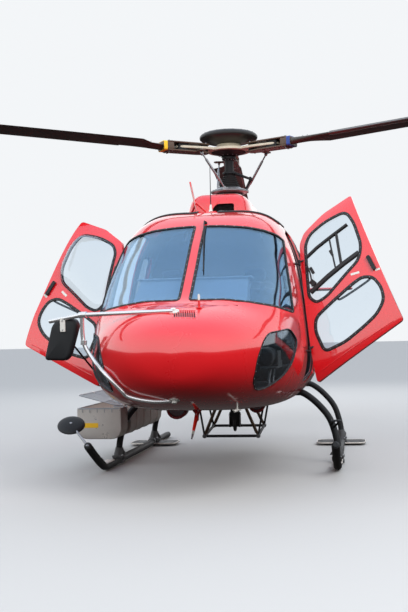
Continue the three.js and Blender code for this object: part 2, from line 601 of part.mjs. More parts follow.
function buildRotor() {
  const boot = cone(vec(0, 0, 2905), vec(0, 0, 3045), 118, 62, 24);
  add('rotor_mast', join(rod(vec(0, 0, 2700), vec(0, 0, 3240), 48, 24), boot), 'black');
  const link = rod(vec(-140, 130, 2870), vec(-130, 390, 3245), 14, 8);
  const mastRoom = rod(vec(0, 0, 2800), vec(0, 0, 3100), 49, 24);
  const bowl = turned([[0, 2836], [180, 2836], [204, 2850], [204, 2868], [122, 2905 - gap], [0, 2905 - gap]]);
  const collar = rod(vec(0, 0, 3050), vec(0, 0, 3078), 72, 20);
  const [shoulder, elbow, foot] = [vec(60, 0, 3062), vec(235, -30, 2985), vec(168, 0, 2862)];
  const scissors = join(rod(shoulder, elbow, 16), rod(elbow, foot, 14), rod(
    vec(235, -62, 2985), vec(235, 2, 2985), 20));
  const plate = join(bowl, collar, scissors).subtract(mastRoom);
  add('swashplate', join(plate, ...bladeAngles.map((angle) => aroundHub(link, angle + 180))), 'silver');
  const arm = prism([[-62, 0], [-95, 330], [-62, 640], [62, 640], [95, 330], [62, 0]], 'z', 3292, 3318);
  const arms = bladeAngles.map((angle) => aroundHub(arm, angle + 180));
  const dome = turned([
    [0, 3372 + gap], [120, 3372 + gap], [300, 3420], [316, 3455], [250, 3500], [0, 3510],
  ], 32);
  add('rotor_cap', dome, 'black');
  // Each sleeve is two plates with the thrust bearing, the elastomer blocks and the blade's cuff between
  const cheek = [[-55, 250], [-82, 360], [-88, 800], [88, 800], [82, 360], [55, 250]];
  const parts = [
    prism(cheek, 'z', 3342, 3356), prism(cheek, 'z', 3254, 3268), box(-50, 50, 262, 345, 3260, 3350),
    box(-66, 66, 505, 630, 3268, 3342), box(-85, 85, 680, 800, 3254, 3356),
    box(-190, -70, 360, 430, 3254, 3268),
  ];
  const sleeves = bladeAngles.map((angle) => aroundHub(join(...parts), angle + 180));
  const hub = turned([
    [0, 3240 + gap], [58, 3240 + gap], [76, 3252], [190, 3288], [232, 3292], [232, 3318], [150, 3328],
    [130, 3372], [0, 3372],
  ], 24);
  add('rotor_head', join(hub, ...arms, ...sleeves), 'white');
  const bladeTable = [
    { r: 800 + gap, chord: 150, thickness: 70, lead: 0.5 },
    { r: 960, chord: 220, thickness: 50, lead: 0.4 },
    { r: 1100, chord: bladeChord, thickness: 44, lead: 0.28 },
    { r: 3000, chord: bladeChord, thickness: 40, lead: 0.28 },
    { r: rotorRadius - 90, chord: bladeChord, thickness: 34, lead: 0.28 },
    { r: rotorRadius, chord: bladeChord * 0.85, thickness: 12, lead: 0.25 },
  ];
  const rise = (r) => hubHeight + 5 + (r - 800) * Math.tan(rad(coning)) - 34 * ((r - 800) / 4545) ** 2;
  const blade = skinOver(bladeTable.map(({ r, chord, thickness, lead }) => foilRing(
    -chord * lead, chord, thickness, (a, b) => vec(-a, r, rise(r) + b))));
  bladeAngles.forEach((angle, i) => add(`main_blade_${i + 1}`, aroundHub(blade, angle + 180), 'blade'));
}

// Landing gear
const legBend = [[400, 705], [700, 715], [800, 700], [934, 594], [1050, 443], [1110, 250], [track, 90]];
function leg(y, extra) {
  const half = (side) => legBend.map(([x, z]) => vec(side * x, y, z));
  return tube([...half(-1).reverse(), vec(0, y, 705), ...half(1)], 33 + extra, { sides: 10, steps: 20 });
}
function buildGear() {
  const skidPath = [[1900, 0], [600, 0], [-900, 0], [-1180, 2], [-1320, 37], [-1560, 147], [-1800, 272]];
  const skid = (side, extra) => {
    const points = skidPath.map(([y, z]) => vec(side * track, y, skidRadius + z));
    const solid = tube(points, skidRadius + extra, { sides: 10, steps: 16 });
    return solid.translate([0, 0, -extra - solid.boundingBox().min[2]]);
  };
  const clear = join(skid(1, gap), skid(-1, gap));
  for (const [name, y] of Object.entries(legY)) {
    const clamps = both(box(track - 58, track + 58, y - 75, y + 75, 12, 175));
    const saddles = both(box(305, 395, y - 60, y + 60, 670, 1000));
    const arms = join(clamps, name === 'rear' ? offHull(saddles) : clamps);
    add(`cross_tube_${name}`, join(leg(y, 0), arms).subtract(clear), 'black');
  }
  const pad = prism(rounded([[840, 880], [1400, 880], [1400, 1240], [840, 1240]], 90), 'z', 22, 38);
  const clampRoom = box(track - 59, track + 59, legY.rear - 76, legY.rear + 76, 0, 175);
  const glass = vec(-1345, -1600, 492);
  const up = vec(0.1, -0.56, 0.82).normalize().multiplyScalar(18);
  const roundMirror = [
    rod(vec(-1130, -1790, 310), glass, 9),
    rod(glass.clone().sub(up), glass.clone().add(up), 130, 20),
  ];
  add('skid_left', join(skid(1, 0), pad.subtract(clampRoom)), 'black');
  add('skid_right', join(skid(-1, 0), mirrored(pad.subtract(clampRoom)), ...roundMirror), 'black');
}

// Fittings on the nose, the belly and the roof
function buildFittings() {
  const r = 17;
  const end = vec(-1084, -2950, 1437);
  const tee = vec(-795, -3020, 1480);
  const mirrorArm = (radius) => join(rod(vec(-28, -3190, 1487), tee, radius), rod(tee, end, radius));
  const strut = tube([
    tee, vec(-785, -3015, 1260), vec(-690, -3050, 1115), vec(-550, -3215, 1006), vec(-440, -3215, 893),
    vec(-380, -3200, 840), vec(-200, -3215, 806), vec(-20, -3185, 808),
  ], r, { sides: 8, steps: 22 });
  add('mirror_frame', offHull(join(mirrorArm(r), strut)), 'silver');
  const face = rounded([[-1160, 1135], [-985, 1130], [-925, 1290], [-925, 1450], [-1150, 1462]], 70);
  add('mirror', prism(face, 'y', -2985, -2890).subtract(mirrorArm(r + gap)), 'black');
  const pitot = join(rod(vec(405, -2900, 700), vec(405, -2900, 900), 14),
    rod(vec(405, -2860, 712), vec(405, -3060, 712), 14));
  const knot = vec(-120, -1500, 2540);
  const upper = join(rod(vec(-103, -1500, 2400), vec(-173, -1500, 2739), 14),
    rod(vec(-224, -1400, 2380), knot, 12), rod(vec(30, -1450, 2400), knot, 12));
  add('wire_cutter_upper', offHull(upper), 'red');
  add('pitot_tube', offHull(pitot), 'white');
}

function buildHook() {
  const half = 285;
  const [front, rear] = [vec(half, -300, 240), vec(half, 350, 290)];
  const flip = (p) => vec(-p.x, p.y, p.z);
  const bars = [[front, rear], [flip(front), flip(rear)], [front, flip(front)], [rear, flip(rear)]];
  const hangers = [[front, vec(380, -240, 760)], [rear, vec(380, 290, 760)]].map(([a, b]) => rod(a, b, 12));
  const struts = [[front, vec(75, -300, 740)], [rear, vec(75, 350, 740)]].map(([a, b]) => rod(a, b, 18));
  const legs = [...hangers, ...struts];
  const frame = join(...bars.map(([a, b]) => rod(a, b, 16)), ...legs, ...legs.map(mirrored));
  add('hook_frame', offHull(frame), 'black');
  const hook = join(box(-60, 60, -30, 90, 300, 470), rod(vec(0, 30, 460), vec(0, 30, 750), 16));
  add('cargo_hook', offHull(hook).subtract(box(-25, 25, -60, 60, 330, 400)), 'black');
}

const tub = { x0: -1470, x1: -1010, y0: -1000, y1: 960, z0: 285, z1: 600, wall: 8 };
const lid = { rise: 14, thick: 12, open: 15 };
function buildBasket() {
  const { x0, x1, y0, y1, z0, z1, wall } = tub;
  // Room for the front leg, which passes through the tub's inner corner
  const notch = (extra) => box(-1155 - extra, x1 + 50, legY.front - 70 - extra, legY.front + 70 + extra,
    z0 - 50, z1 + 90);
  const room = box(x0 + wall, x1 - wall, y0 + wall, y1 - wall, z0 + wall, z1 + 50).subtract(notch(wall));
  const shell = less(box(x0, x1, y0, y1, z0, z1), notch(0), room);
  const brackets = [
    box(-1156, x1, legY.front - 71, legY.front + 71, 430, 450),
    box(-1120, x1, y1 - 10, legY.rear + 60, 430, 450),
  ];
  const legRoom = join(leg(legY.front, gap), leg(legY.rear, gap));
  const axisZ = z1 + lid.rise;
  const line = { bottom: vec(x1 - 4, y0 + 150, axisZ), top: vec(x1 - 4, y1 - 150, axisZ) };
  const turn = new THREE.Matrix4().makeTranslation(line.bottom)
    .multiply(new THREE.Matrix4().makeRotationY(rad(lid.open)))
    .multiply(new THREE.Matrix4().makeTranslation(line.bottom.clone().negate()));
  const halves = [0, 1].map((place) => hingeHalves(line, place,
    (p) => vec(p.x, p.y, z1 - 20), (p) => vec(p.x - 60, p.y, p.z)));
  const panel = box(x0, x1 - 22, y0, y1, axisZ - lid.thick / 2, axisZ + lid.thick / 2).subtract(notch(0));
  add('basket', join(shell, ...brackets, ...halves.map((one) => one.fixed)).subtract(legRoom), 'steel');
  add('basket_lid', moved(join(panel, ...halves.map((one) => one.moving)), turn), 'steel');
}

// Cabin inside
function buildInside() {
  const seat = (x) => join(
    box(x - 240, x + 240, -1820, -1330, 960, 1180), box(x - 240, x + 240, -1400, -1240, 1180, 1780),
    box(x - 120, x + 120, -1370, -1270, 1780, 1950),
    box(x - 180, x + 180, -1780, -1350, floorTop + gap, 960));
  const bench = join(box(-760, 760, -860, bulkheadY - 60, floorTop + gap, 1150),
    box(-760, 760, -560, bulkheadY - gap, 1150, 1800));
  addPair('seat', seat(400), 'black');
  add('rear_bench', bench, 'black');
  // A pedestal that widens into the panel, with its top under the windscreen
  const face = [
    [-300, floorTop + gap], [250, floorTop + gap], [270, 1240], [468, 1400], [468, 1840], [-400, 1840],
    [-500, 1520], [-500, 1330], [-320, 1200],
  ];
  const depth = [[-2620, 820], [-2395, 820], [-2395, 1850], [-2465, 1850], [-2620, 1560]];
  add('instrument_panel', prism(face, 'y', -2700, -2300).intersect(prism(depth, 'x', -600, 600)), 'black');
}

buildNose();
buildCabin();
buildDoors();
buildCentreBody();
buildCowlings();
buildTail();
buildTailRotor();
buildRotor();
buildGear();
buildFittings();
buildHook();
buildBasket();
buildInside();

export default model;
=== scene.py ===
# Utility helicopter on high skids, both front doors open
import json
import math
import random
import bpy
import bmesh
from mathutils import Matrix, Vector

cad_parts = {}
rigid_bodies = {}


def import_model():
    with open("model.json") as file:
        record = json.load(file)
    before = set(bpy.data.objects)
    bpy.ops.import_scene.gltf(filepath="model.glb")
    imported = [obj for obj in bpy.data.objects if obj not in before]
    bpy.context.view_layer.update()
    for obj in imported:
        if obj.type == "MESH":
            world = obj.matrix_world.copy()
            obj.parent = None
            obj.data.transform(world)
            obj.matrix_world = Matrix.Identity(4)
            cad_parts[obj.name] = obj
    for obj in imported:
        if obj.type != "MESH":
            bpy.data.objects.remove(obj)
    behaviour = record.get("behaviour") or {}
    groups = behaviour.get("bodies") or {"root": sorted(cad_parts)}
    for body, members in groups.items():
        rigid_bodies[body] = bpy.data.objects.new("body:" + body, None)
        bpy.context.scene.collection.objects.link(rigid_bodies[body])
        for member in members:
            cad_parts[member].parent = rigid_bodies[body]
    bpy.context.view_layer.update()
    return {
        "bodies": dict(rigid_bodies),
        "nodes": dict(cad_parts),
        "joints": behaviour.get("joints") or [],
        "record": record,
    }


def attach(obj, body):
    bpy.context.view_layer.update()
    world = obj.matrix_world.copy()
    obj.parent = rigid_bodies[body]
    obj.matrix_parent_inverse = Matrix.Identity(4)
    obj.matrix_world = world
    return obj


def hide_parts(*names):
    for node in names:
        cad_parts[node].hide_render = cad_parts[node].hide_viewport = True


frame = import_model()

print("frame loaded:", len(frame["nodes"]), "nodes")

# Shapes are drawn in millimetres round the rotor mast's axis, and toFrame puts them in the frame's metres
toFrame = Matrix.Scale(0.001, 4) @ Matrix.Translation((-258.742, -2015.0, 0.0))
rootBody = "airframe"

cameraSetup = {"place": (1.098, -12.278, 1.271), "turn": 9.225, "roll": 1.26, "lens": 56.0, "sensor": 36.0,
               "shift": (-0.0012, 0.0537), "clip": (0.1, 400.0)}
# area lights as (place, size, strength), all turned to the aim
lightSetup = {"key": ((5.5, -11.0, 8.5), 6.0, 1000.0), "fill": ((-9.0, -8.0, 5.0), 7.0, 380.0),
              "rim": ((0.0, 9.0, 9.0), 8.0, 500.0)}
lightAim, exposure = (-0.3, -1.5, 1.5), 0.0
# ground, a dark band at the horizon, then a bright sky that turns blue overhead
skySetup = {"strength": 1.12, "backdrop": (0.90, 0.92, 0.94), "stops": [
    (0.0, (0.03, 0.027, 0.027)), (0.46, (0.06, 0.054, 0.054)), (0.50, (0.03, 0.035, 0.035)),
    (0.56, (0.05, 0.065, 0.075)), (0.575, (1.25, 1.25, 1.25)), (0.74, (1.0, 1.04, 1.1)), (1.0, (0.62, 0.74, 0.92))]}
floorSetup = {"reach": 180.0, "height": -0.001, "color": (0.47, 0.465, 0.455), "roughness": 0.9}


def linked(name, data):
    made = bpy.data.objects.new(name, data)
    bpy.context.scene.collection.objects.link(made)
    return made


def makeCamera(setup):
    data = bpy.data.cameras.new("photoCamera")
    data.lens, data.sensor_width = setup["lens"], setup["sensor"]
    data.shift_x, data.shift_y = setup["shift"]
    data.clip_start, data.clip_end = setup["clip"]
    camera = linked("photoCamera", data)
    turned = Matrix.Rotation(math.radians(setup["turn"]), 4, "Z") @ Matrix.Rotation(math.radians(90), 4, "X")
    rolled = turned @ Matrix.Rotation(math.radians(-setup["roll"]), 4, "Z")
    camera.matrix_world = Matrix.Translation(setup["place"]) @ rolled
    bpy.context.scene.camera = camera


def addNode(tree, kind, sockets=None, **settings):
    node = tree.nodes.new("ShaderNode" + kind)
    for key, value in settings.items():
        setattr(node, key, value)
    for key, value in (sockets or {}).items():
        if isinstance(value, bpy.types.NodeSocket):
            tree.links.new(value, node.inputs[key])
        else:
            node.inputs[key].default_value = value
    return node


# The sky lights everything, and the camera sees a plain backdrop instead of it
def makeSky(setup):
    world = bpy.data.worlds.new("studio")
    bpy.context.scene.world = world
    world.use_nodes = True
    tree = world.node_tree
    tree.nodes.clear()
    coords = addNode(tree, "TexCoord")
    split = addNode(tree, "SeparateXYZ", {0: coords.outputs["Generated"]})
    up = addNode(tree, "MapRange", {"From Min": -1.0, "Value": split.outputs["Z"]})
    ramp = addNode(tree, "ValToRGB", {0: up.outputs[0]})
    elements = ramp.color_ramp.elements
    while len(elements) < len(setup["stops"]):
        elements.new(0.5)
    for element, (place, color) in zip(elements, setup["stops"]):
        element.position, element.color = place, (*color, 1)
    lit = addNode(tree, "Background", {"Color": ramp.outputs["Color"], "Strength": setup["strength"]})
    seen = addNode(tree, "Background", {"Color": (*setup["backdrop"], 1)})
    rays = addNode(tree, "LightPath")
    mix = addNode(tree, "MixShader", {0: rays.outputs["Is Camera Ray"], 1: lit.outputs[0], 2: seen.outputs[0]})
    addNode(tree, "OutputWorld", {0: mix.outputs[0]})


def makeLights(setup):
    view = bpy.context.scene.view_settings
    view.view_transform, view.exposure = "Standard", exposure
    for name, (place, size, strength) in setup.items():
        data = bpy.data.lights.new(name, "AREA")
        data.energy, data.size = strength, size
        light = linked(name, data)
        light.location = place
        light.visible_glossy = False
        light.rotation_euler = (Vector(lightAim) - Vector(place)).to_track_quat("-Z", "Y").to_euler()


def makeFloor(setup):
    mesh = bpy.data.meshes.new("floor")
    r, z = setup["reach"], setup["height"]
    mesh.from_pydata([(-r, -r, z), (r, -r, z), (r, r, z), (-r, r, z)], [], [(0, 1, 2, 3)])
    floor = linked("floor", mesh)
    material, tree = newTree("paleFloor")
    base = {"Base Color": (*setup["color"], 1), "Roughness": setup["roughness"]}
    floor.data.materials.append(shadedBy(material, tree, addNode(tree, "BsdfPrincipled", base)))
    # the belly and the glass take their colour from the ground of the world, not from the bright floor
    floor.visible_glossy = floor.visible_diffuse = False


# Materials
def newTree(name):
    material = bpy.data.materials.new(name)
    material.use_nodes = True
    material.node_tree.nodes.clear()
    return material, material.node_tree


def shadedBy(material, tree, shader):
    addNode(tree, "OutputMaterial", {"Surface": shader.outputs[0]})
    return material


def blended(tree, factor, first, second):
    return addNode(tree, "Mix", {"Factor": factor, "A": first, "B": second}, data_type="RGBA").outputs["Result"]


dustSetup = {"color": (0.30, 0.27, 0.23), "scale": 22.0, "sparse": 0.45, "dense": 0.75}


# One recipe for painted, coated, moulded and metal finishes. patch varies the colour, grain the bump,
# dust settles on what lies low, more towards the ground.
def finishMaterial(name, color, second, roughness, bump, patch=3.0, grain=400.0, spread=0.08, metallic=0.0,
                   coat=0.0, coatRoughness=0.05, coatIor=1.5, dust=0.0, dustTop=0.9, stretch=(1, 1, 1), sheen=0.0):
    material, tree = newTree(name)
    coords = addNode(tree, "TexCoord").outputs["Object"]
    mapped = addNode(tree, "Mapping", {"Vector": coords, "Scale": stretch}).outputs[0]
    broad = addNode(tree, "TexNoise", {"Vector": mapped, "Scale": patch, "Detail": 6.0, "Roughness": 0.6})
    fine = addNode(tree, "TexNoise", {"Vector": mapped, "Scale": grain, "Detail": 3.0})
    shade = blended(tree, broad.outputs["Fac"], (*color, 1), (*second, 1))
    rough = addNode(tree, "MapRange", {"Value": broad.outputs["Fac"], "From Min": 0.3, "From Max": 0.7,
                                       "To Min": roughness, "To Max": roughness + spread}).outputs[0]
    if dust:
        height = addNode(tree, "SeparateXYZ", {"Vector": coords}).outputs["Z"]
        low = addNode(tree, "MapRange", {"Value": height, "From Min": 0.0, "From Max": dustTop,
                                         "To Min": 1.0, "To Max": 0.0}).outputs[0]
        speck = addNode(tree, "TexNoise", {"Vector": coords, "Scale": dustSetup["scale"], "Detail": 8.0,
                                           "Roughness": 0.7})
        ramp = addNode(tree, "MapRange", {"Value": speck.outputs["Fac"], "From Min": dustSetup["sparse"],
                                          "From Max": dustSetup["dense"], "To Min": 0.0, "To Max": dust})
        amount = addNode(tree, "Math", {0: ramp.outputs[0], 1: low}, operation="MULTIPLY").outputs[0]
        shade = blended(tree, amount, shade, (*dustSetup["color"], 1))
        rough = addNode(tree, "Math", {0: rough, 1: amount}, operation="ADD").outputs[0]
    relief = addNode(tree, "Bump", {"Height": fine.outputs["Fac"], "Strength": bump, "Distance": 0.001})
    shader = addNode(tree, "BsdfPrincipled", {
        "Base Color": shade, "Roughness": rough, "Normal": relief.outputs[0], "Metallic": metallic,
        "Coat Weight": coat, "Coat Roughness": coatRoughness, "Coat IOR": coatIor, "Sheen Weight": sheen})
    return shadedBy(material, tree, shader)


def glassMaterial(name, tint, shine, haze, gleam=(0.86, 0.93, 1.0), rim=0.7):
    material, tree = newTree(name)
    coords = addNode(tree, "TexCoord").outputs["Object"]
    smear = addNode(tree, "TexNoise", {"Vector": coords, "Scale": 6.0, "Detail": 8.0, "Roughness": 0.65})
    rough = addNode(tree, "MapRange", {"Value": smear.outputs["Fac"], "From Min": 0.4, "From Max": 0.8,
                                       "To Min": 0.02, "To Max": 0.02 + haze}).outputs[0]
    clear = addNode(tree, "BsdfTransparent", {"Color": (*tint, 1)})
    gloss = addNode(tree, "BsdfPrincipled", {"Base Color": (*gleam, 1), "Roughness": rough, "Metallic": 1.0})
    # Facing is the same on a pane's two faces, where a Fresnel node would turn the inner one to a mirror
    facing = addNode(tree, "LayerWeight", {"Blend": 0.5}).outputs["Facing"]
    edge = addNode(tree, "Math", {0: facing, 1: 4.0}, operation="POWER").outputs[0]
    amount = addNode(tree, "MapRange", {"Value": edge, "To Min": shine, "To Max": rim}).outputs[0]
    mix = addNode(tree, "MixShader", {0: amount, 1: clear.outputs[0], 2: gloss.outputs[0]})
    return shadedBy(material, tree, mix)


finishes = {
    "redPaint": finishMaterial("redPaint", (0.74, 0.007, 0.012), (0.66, 0.005, 0.009), 0.24, patch=1.6, grain=220.0,
                               bump=0.02, coat=1.0, coatRoughness=0.03, coatIor=1.85, dust=0.2, dustTop=0.9),
    "glazing": glassMaterial("glazing", (0.88, 0.92, 0.95), 0.05, 0.04, rim=1.0),
    "screenPane": glassMaterial("screenPane", (0.80, 0.88, 0.94), 0.25, 0.05, (0.50, 0.76, 1.0)),
    "chinPane": glassMaterial("chinPane", (0.78, 0.83, 0.85), 0.10, 0.05),
    "trim": finishMaterial("greyTrim", (0.12, 0.12, 0.125), (0.16, 0.16, 0.16), 0.7, grain=300.0, bump=0.2),
    "casting": finishMaterial("casting", (0.16, 0.16, 0.165), (0.10, 0.10, 0.10), 0.55, metallic=0.6, bump=0.3),
    "steel": finishMaterial("bareSteel", (0.86, 0.81, 0.75), (0.66, 0.62, 0.58), 0.26, metallic=0.45, patch=5.0,
                            stretch=(1, 6, 1), bump=0.1, dust=0.15),
    "alloy": finishMaterial("satinAlloy", (0.55, 0.56, 0.58), (0.42, 0.43, 0.45), 0.34, metallic=0.9, bump=0.1),
    "blade": finishMaterial("bladeSkin", (0.075, 0.068, 0.06), (0.05, 0.046, 0.042), 0.42, patch=2.0, bump=0.06),
    "black": finishMaterial("blackCoat", (0.008, 0.009, 0.011), (0.016, 0.017, 0.018), 0.5, bump=0.1, dust=0.08,
                            dustTop=0.5),
    "lining": finishMaterial("cabinLining", (0.24, 0.25, 0.27), (0.19, 0.20, 0.215), 0.75, grain=500.0, bump=0.3),
    # the panel shell's light blue-grey is partly its own tone and partly painted light, lifting the panel that sits
    # in shade behind the windscreen's lower part
    "panelShellPaintedLight": finishMaterial("panelShellPaintedLight", (0.34, 0.39, 0.46), (0.27, 0.31, 0.37), 0.5, bump=0.15),
    "screenGlass": finishMaterial("screenGlass", (0.01, 0.012, 0.016), (0.02, 0.022, 0.03), 0.08, bump=0.01,
                                  coat=1.0),
    "cream": finishMaterial("creamComposite", (0.66, 0.60, 0.47), (0.55, 0.49, 0.38), 0.36, bump=0.08),
    "seat": finishMaterial("seatCover", (0.022, 0.022, 0.026), (0.04, 0.04, 0.045), 0.85, grain=900.0, bump=0.5,
                           sheen=0.4),
    "rubber": finishMaterial("sealRubber", (0.012, 0.012, 0.013), (0.03, 0.03, 0.03), 0.55, grain=260.0, bump=0.2),
    "panel": finishMaterial("panelBlack", (0.014, 0.014, 0.015), (0.025, 0.025, 0.026), 0.5, bump=0.3),
    "reflector": finishMaterial("lampReflector", (0.85, 0.85, 0.86), (0.7, 0.7, 0.72), 0.12, metallic=1.0, bump=0.05),
    "lens": glassMaterial("lampLens", (0.9, 0.92, 0.93), 0.12, 0.04),
    "spikeRed": finishMaterial("spikeRed", (0.95, 0.03, 0.015), (0.90, 0.026, 0.013), 0.4, bump=0.05),
    "yellow": finishMaterial("yellowMark", (1.0, 0.60, 0.03), (0.95, 0.54, 0.02), 0.45, bump=0.05),
    "blue": finishMaterial("blueMark", (0.03, 0.08, 0.35), (0.03, 0.06, 0.26), 0.45, bump=0.05),
    "bronze": finishMaterial("bronzeTube", (0.16, 0.11, 0.075), (0.11, 0.075, 0.05), 0.4, metallic=0.7, bump=0.1),
    "polished": finishMaterial("polishedTube", (0.90, 0.90, 0.90), (0.82, 0.83, 0.84), 0.14, metallic=0.8,
                               bump=0.03, spread=0.06),
    "mesh": finishMaterial("darkMesh", (0.03, 0.03, 0.032), (0.05, 0.05, 0.05), 0.5, metallic=0.5, bump=0.1),
    "webbing": finishMaterial("beltWebbing", (0.03, 0.03, 0.035), (0.05, 0.05, 0.055), 0.8, grain=1400.0, bump=0.4,
                              sheen=0.3),
    "sleeve": finishMaterial("sleeveResin", (0.13, 0.085, 0.06), (0.075, 0.05, 0.036), 0.32, patch=9.0, bump=0.12,
                             stretch=(1, 5, 1)),
    "exhaust": finishMaterial("exhaustHeat", (0.30, 0.25, 0.21), (0.16, 0.13, 0.13), 0.38, metallic=1.0, patch=7.0,
                              bump=0.15),
    "capPaint": finishMaterial("capPaint", (0.012, 0.011, 0.011), (0.02, 0.019, 0.018), 0.4, patch=4.0, bump=0.05,
                               coat=0.15),
    "edgeMetal": finishMaterial("edgeMetal", (0.30, 0.29, 0.28), (0.22, 0.21, 0.20), 0.4, metallic=0.9, bump=0.1),
    "lampRing": finishMaterial("lampRing", (0.30, 0.012, 0.016), (0.22, 0.01, 0.012), 0.35, bump=0.1, coat=0.4),
    "white": finishMaterial("whitePaint", (0.72, 0.71, 0.67), (0.62, 0.60, 0.55), 0.35, bump=0.1),
}
print("finishes made:", len(finishes))

makeCamera(cameraSetup)
makeSky(skySetup)
makeLights(lightSetup)
makeFloor(floorSetup)


# Mesh tools, all in millimetres until makePiece puts the mesh in the frame
def meshFrom(points, faces):
    mesh = bpy.data.meshes.new("work")
    mesh.from_pydata([tuple(p) for p in points], [], faces)
    mesh.update()
    return mesh


def facingOut(mesh, fill=False):
    bm = bmesh.new()
    bm.from_mesh(mesh)
    bmesh.ops.remove_doubles(bm, verts=bm.verts, dist=0.01)
    if fill:
        bmesh.ops.holes_fill(bm, edges=bm.edges, sides=0)
    bmesh.ops.recalc_face_normals(bm, faces=bm.faces)
    bm.to_mesh(mesh)
    bm.free()
    return mesh


def joinMeshes(*meshes):
    bm = bmesh.new()
    for mesh in meshes:
        bm.from_mesh(mesh)
    mesh = bpy.data.meshes.new("work")
    bm.to_mesh(mesh)
    bm.free()
    return mesh


def movedMesh(mesh, matrix):
    copy = mesh.copy()
    copy.transform(matrix)
    if matrix.determinant() < 0:
        copy.flip_normals()
    return copy


flipX = Matrix.Scale(-1, 4, (1, 0, 0))


def mirrored(mesh):
    return movedMesh(mesh, flipX)


# The mesh that an object's modifiers make
def evaluated(carrier):
    return bpy.data.meshes.new_from_object(carrier.evaluated_get(bpy.context.evaluated_depsgraph_get()))


# a and b are closed meshes; the result is theirs joined, cut or shared
def combine(a, b, operation):
    first, second = linked("a", a), linked("b", b)
    modifier = first.modifiers.new("cut", "BOOLEAN")
    modifier.operation, modifier.solver, modifier.object = operation, "MANIFOLD", second
    result = evaluated(first)
    for piece in (first, second):
        bpy.data.objects.remove(piece)
    return result


def shared(a, b):
    return combine(a, b, "INTERSECT")


def less(a, *cutters):
    for cutter in cutters:
        a = combine(a, cutter, "DIFFERENCE")
    return a


def fused(a, *others):
    for other in others:
        a = combine(a, other, "UNION")
    return a


# An object in the scene with one finish
def addObject(name, mesh, finish):
    mesh.name = name
    mesh.materials.clear()
    mesh.materials.append(finishes[finish])
    for polygon in mesh.polygons:
        polygon.use_smooth = True
    return linked(name, mesh)


sharpAngle = 32.0  # degrees, edges above it are shaded sharp


def makePiece(name, mesh, finish, body=rootBody, replaced=()):
    mesh = mesh.copy()
    mesh.transform(toFrame)
    piece = addObject(name, mesh, finish)
    mesh.set_sharp_from_angle(angle=math.radians(sharpAngle))
    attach(piece, body)
    if replaced:
        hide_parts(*replaced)
    return piece


# A piece and its mirror image, in place of the solids of both sides
def makePair(name, mesh, finish, node, rides=False):
    for side, shape in (("_left", mesh), ("_right", mirrored(mesh))):
        makePiece(name + side, shape, finish, node + side if rides else rootBody, [node + side])


bothNames = (("left", 1), ("right", -1))


def box(x0, x1, y0, y1, z0, z1):
    points = [(x, y, z) for x in (x0, x1) for y in (y0, y1) for z in (z0, z1)]
    return meshFrom(points, [(0, 1, 3, 2), (4, 6, 7, 5), (0, 4, 5, 1), (2, 3, 7, 6), (0, 2, 6, 4), (1, 5, 7, 3)])


# An outline of (y, z), (x, z) or (x, y) at one place along the axis across it
def acrossAxis(outline, axis, w):
    return [{"x": (w, u, v), "y": (u, w, v), "z": (u, v, w)}[axis] for u, v in outline]


def prism(outline, axis, start, end):
    count = len(outline)
    points = acrossAxis(outline, axis, start) + acrossAxis(outline, axis, end)
    faces = [tuple(range(count)), tuple(range(2 * count - 1, count - 1, -1))]
    faces += [(i, (i + 1) % count, (i + 1) % count + count, i + count) for i in range(count)]
    return facingOut(meshFrom(points, faces))


def skinOver(rings):
    count = len(rings[0])
    points = [p for ring in rings for p in ring]
    faces = []
    for r in range(len(rings) - 1):
        for i in range(count):
            j = (i + 1) % count
            faces.append((r * count + i, r * count + j, (r + 1) * count + j, (r + 1) * count + i))
    for start in (0, (len(rings) - 1) * count):
        ring = points[start:start + count]
        points.append(sum((Vector(p) for p in ring), Vector()) / count)
        faces += [(len(points) - 1, start + i, start + (i + 1) % count) for i in range(count)]
    return facingOut(meshFrom(points, faces))


# Rings joined end to end, as round a window
def loopSkin(rings):
    count, turns = len(rings[0]), len(rings)
    points = [p for ring in rings for p in ring]
    faces = [(r * count + i, r * count + (i + 1) % count, (r + 1) % turns * count + (i + 1) % count,
              (r + 1) % turns * count + i) for r in range(turns) for i in range(count)]
    return facingOut(meshFrom(points, faces))


# Even angles round a circle
def turns(count, start=0.0):
    return [2 * math.pi * i / count + start for i in range(count)]


# The points of a line again, at even steps
def evenly(points, step, closed=True):
    places = [Vector(p) for p in points]
    if closed:
        places.append(places[0].copy())
    lengths = [0.0]
    for a, b in zip(places, places[1:]):
        lengths.append(lengths[-1] + (b - a).length)
    count = max(3, round(lengths[-1] / step))
    out, k = [], 0
    for i in range(count + (0 if closed else 1)):
        goal = lengths[-1] * i / count
        while k + 2 < len(lengths) and lengths[k + 1] < goal:
            k += 1
        out.append(places[k].lerp(places[k + 1], (goal - lengths[k]) / max(lengths[k + 1] - lengths[k], 1e-6)))
    return out


# A raised strip on a skin. path holds (place, normal) pairs
def bead(path, width, height, closed=True, sink=1.5):
    shape = [(-0.5, -sink), (-0.5, 0.5 * height), (-0.32, height), (0.32, height), (0.5, 0.5 * height), (0.5, -sink)]
    count = len(path)
    rings = []
    for i, (place, normal) in enumerate(path):
        after = path[(i + 1) % count if closed else min(i + 1, count - 1)][0]
        before = path[i - 1 if closed else max(i - 1, 0)][0]
        across = (after - before).cross(normal).normalized()
        rings.append([place + across * (u * width) + normal * v for u, v in shape])
    return loopSkin(rings) if closed else skinOver(rings)


def movedPath(path, matrix):
    turn = matrix.to_3x3()
    return [(matrix @ place, (turn @ normal).normalized()) for place, normal in path]


def framesAlong(points):
    # a direction and a steady side vector at each point
    places = [Vector(p) for p in points]
    out = []
    side = None
    for i in range(len(places)):
        along = places[min(i + 1, len(places) - 1)] - places[max(i - 1, 0)]
        along.normalize()
        if side is None:
            side = along.orthogonal().normalized()
        side = (side - along * side.dot(along)).normalized()
        out.append((places[i], along, side.copy()))
    return out


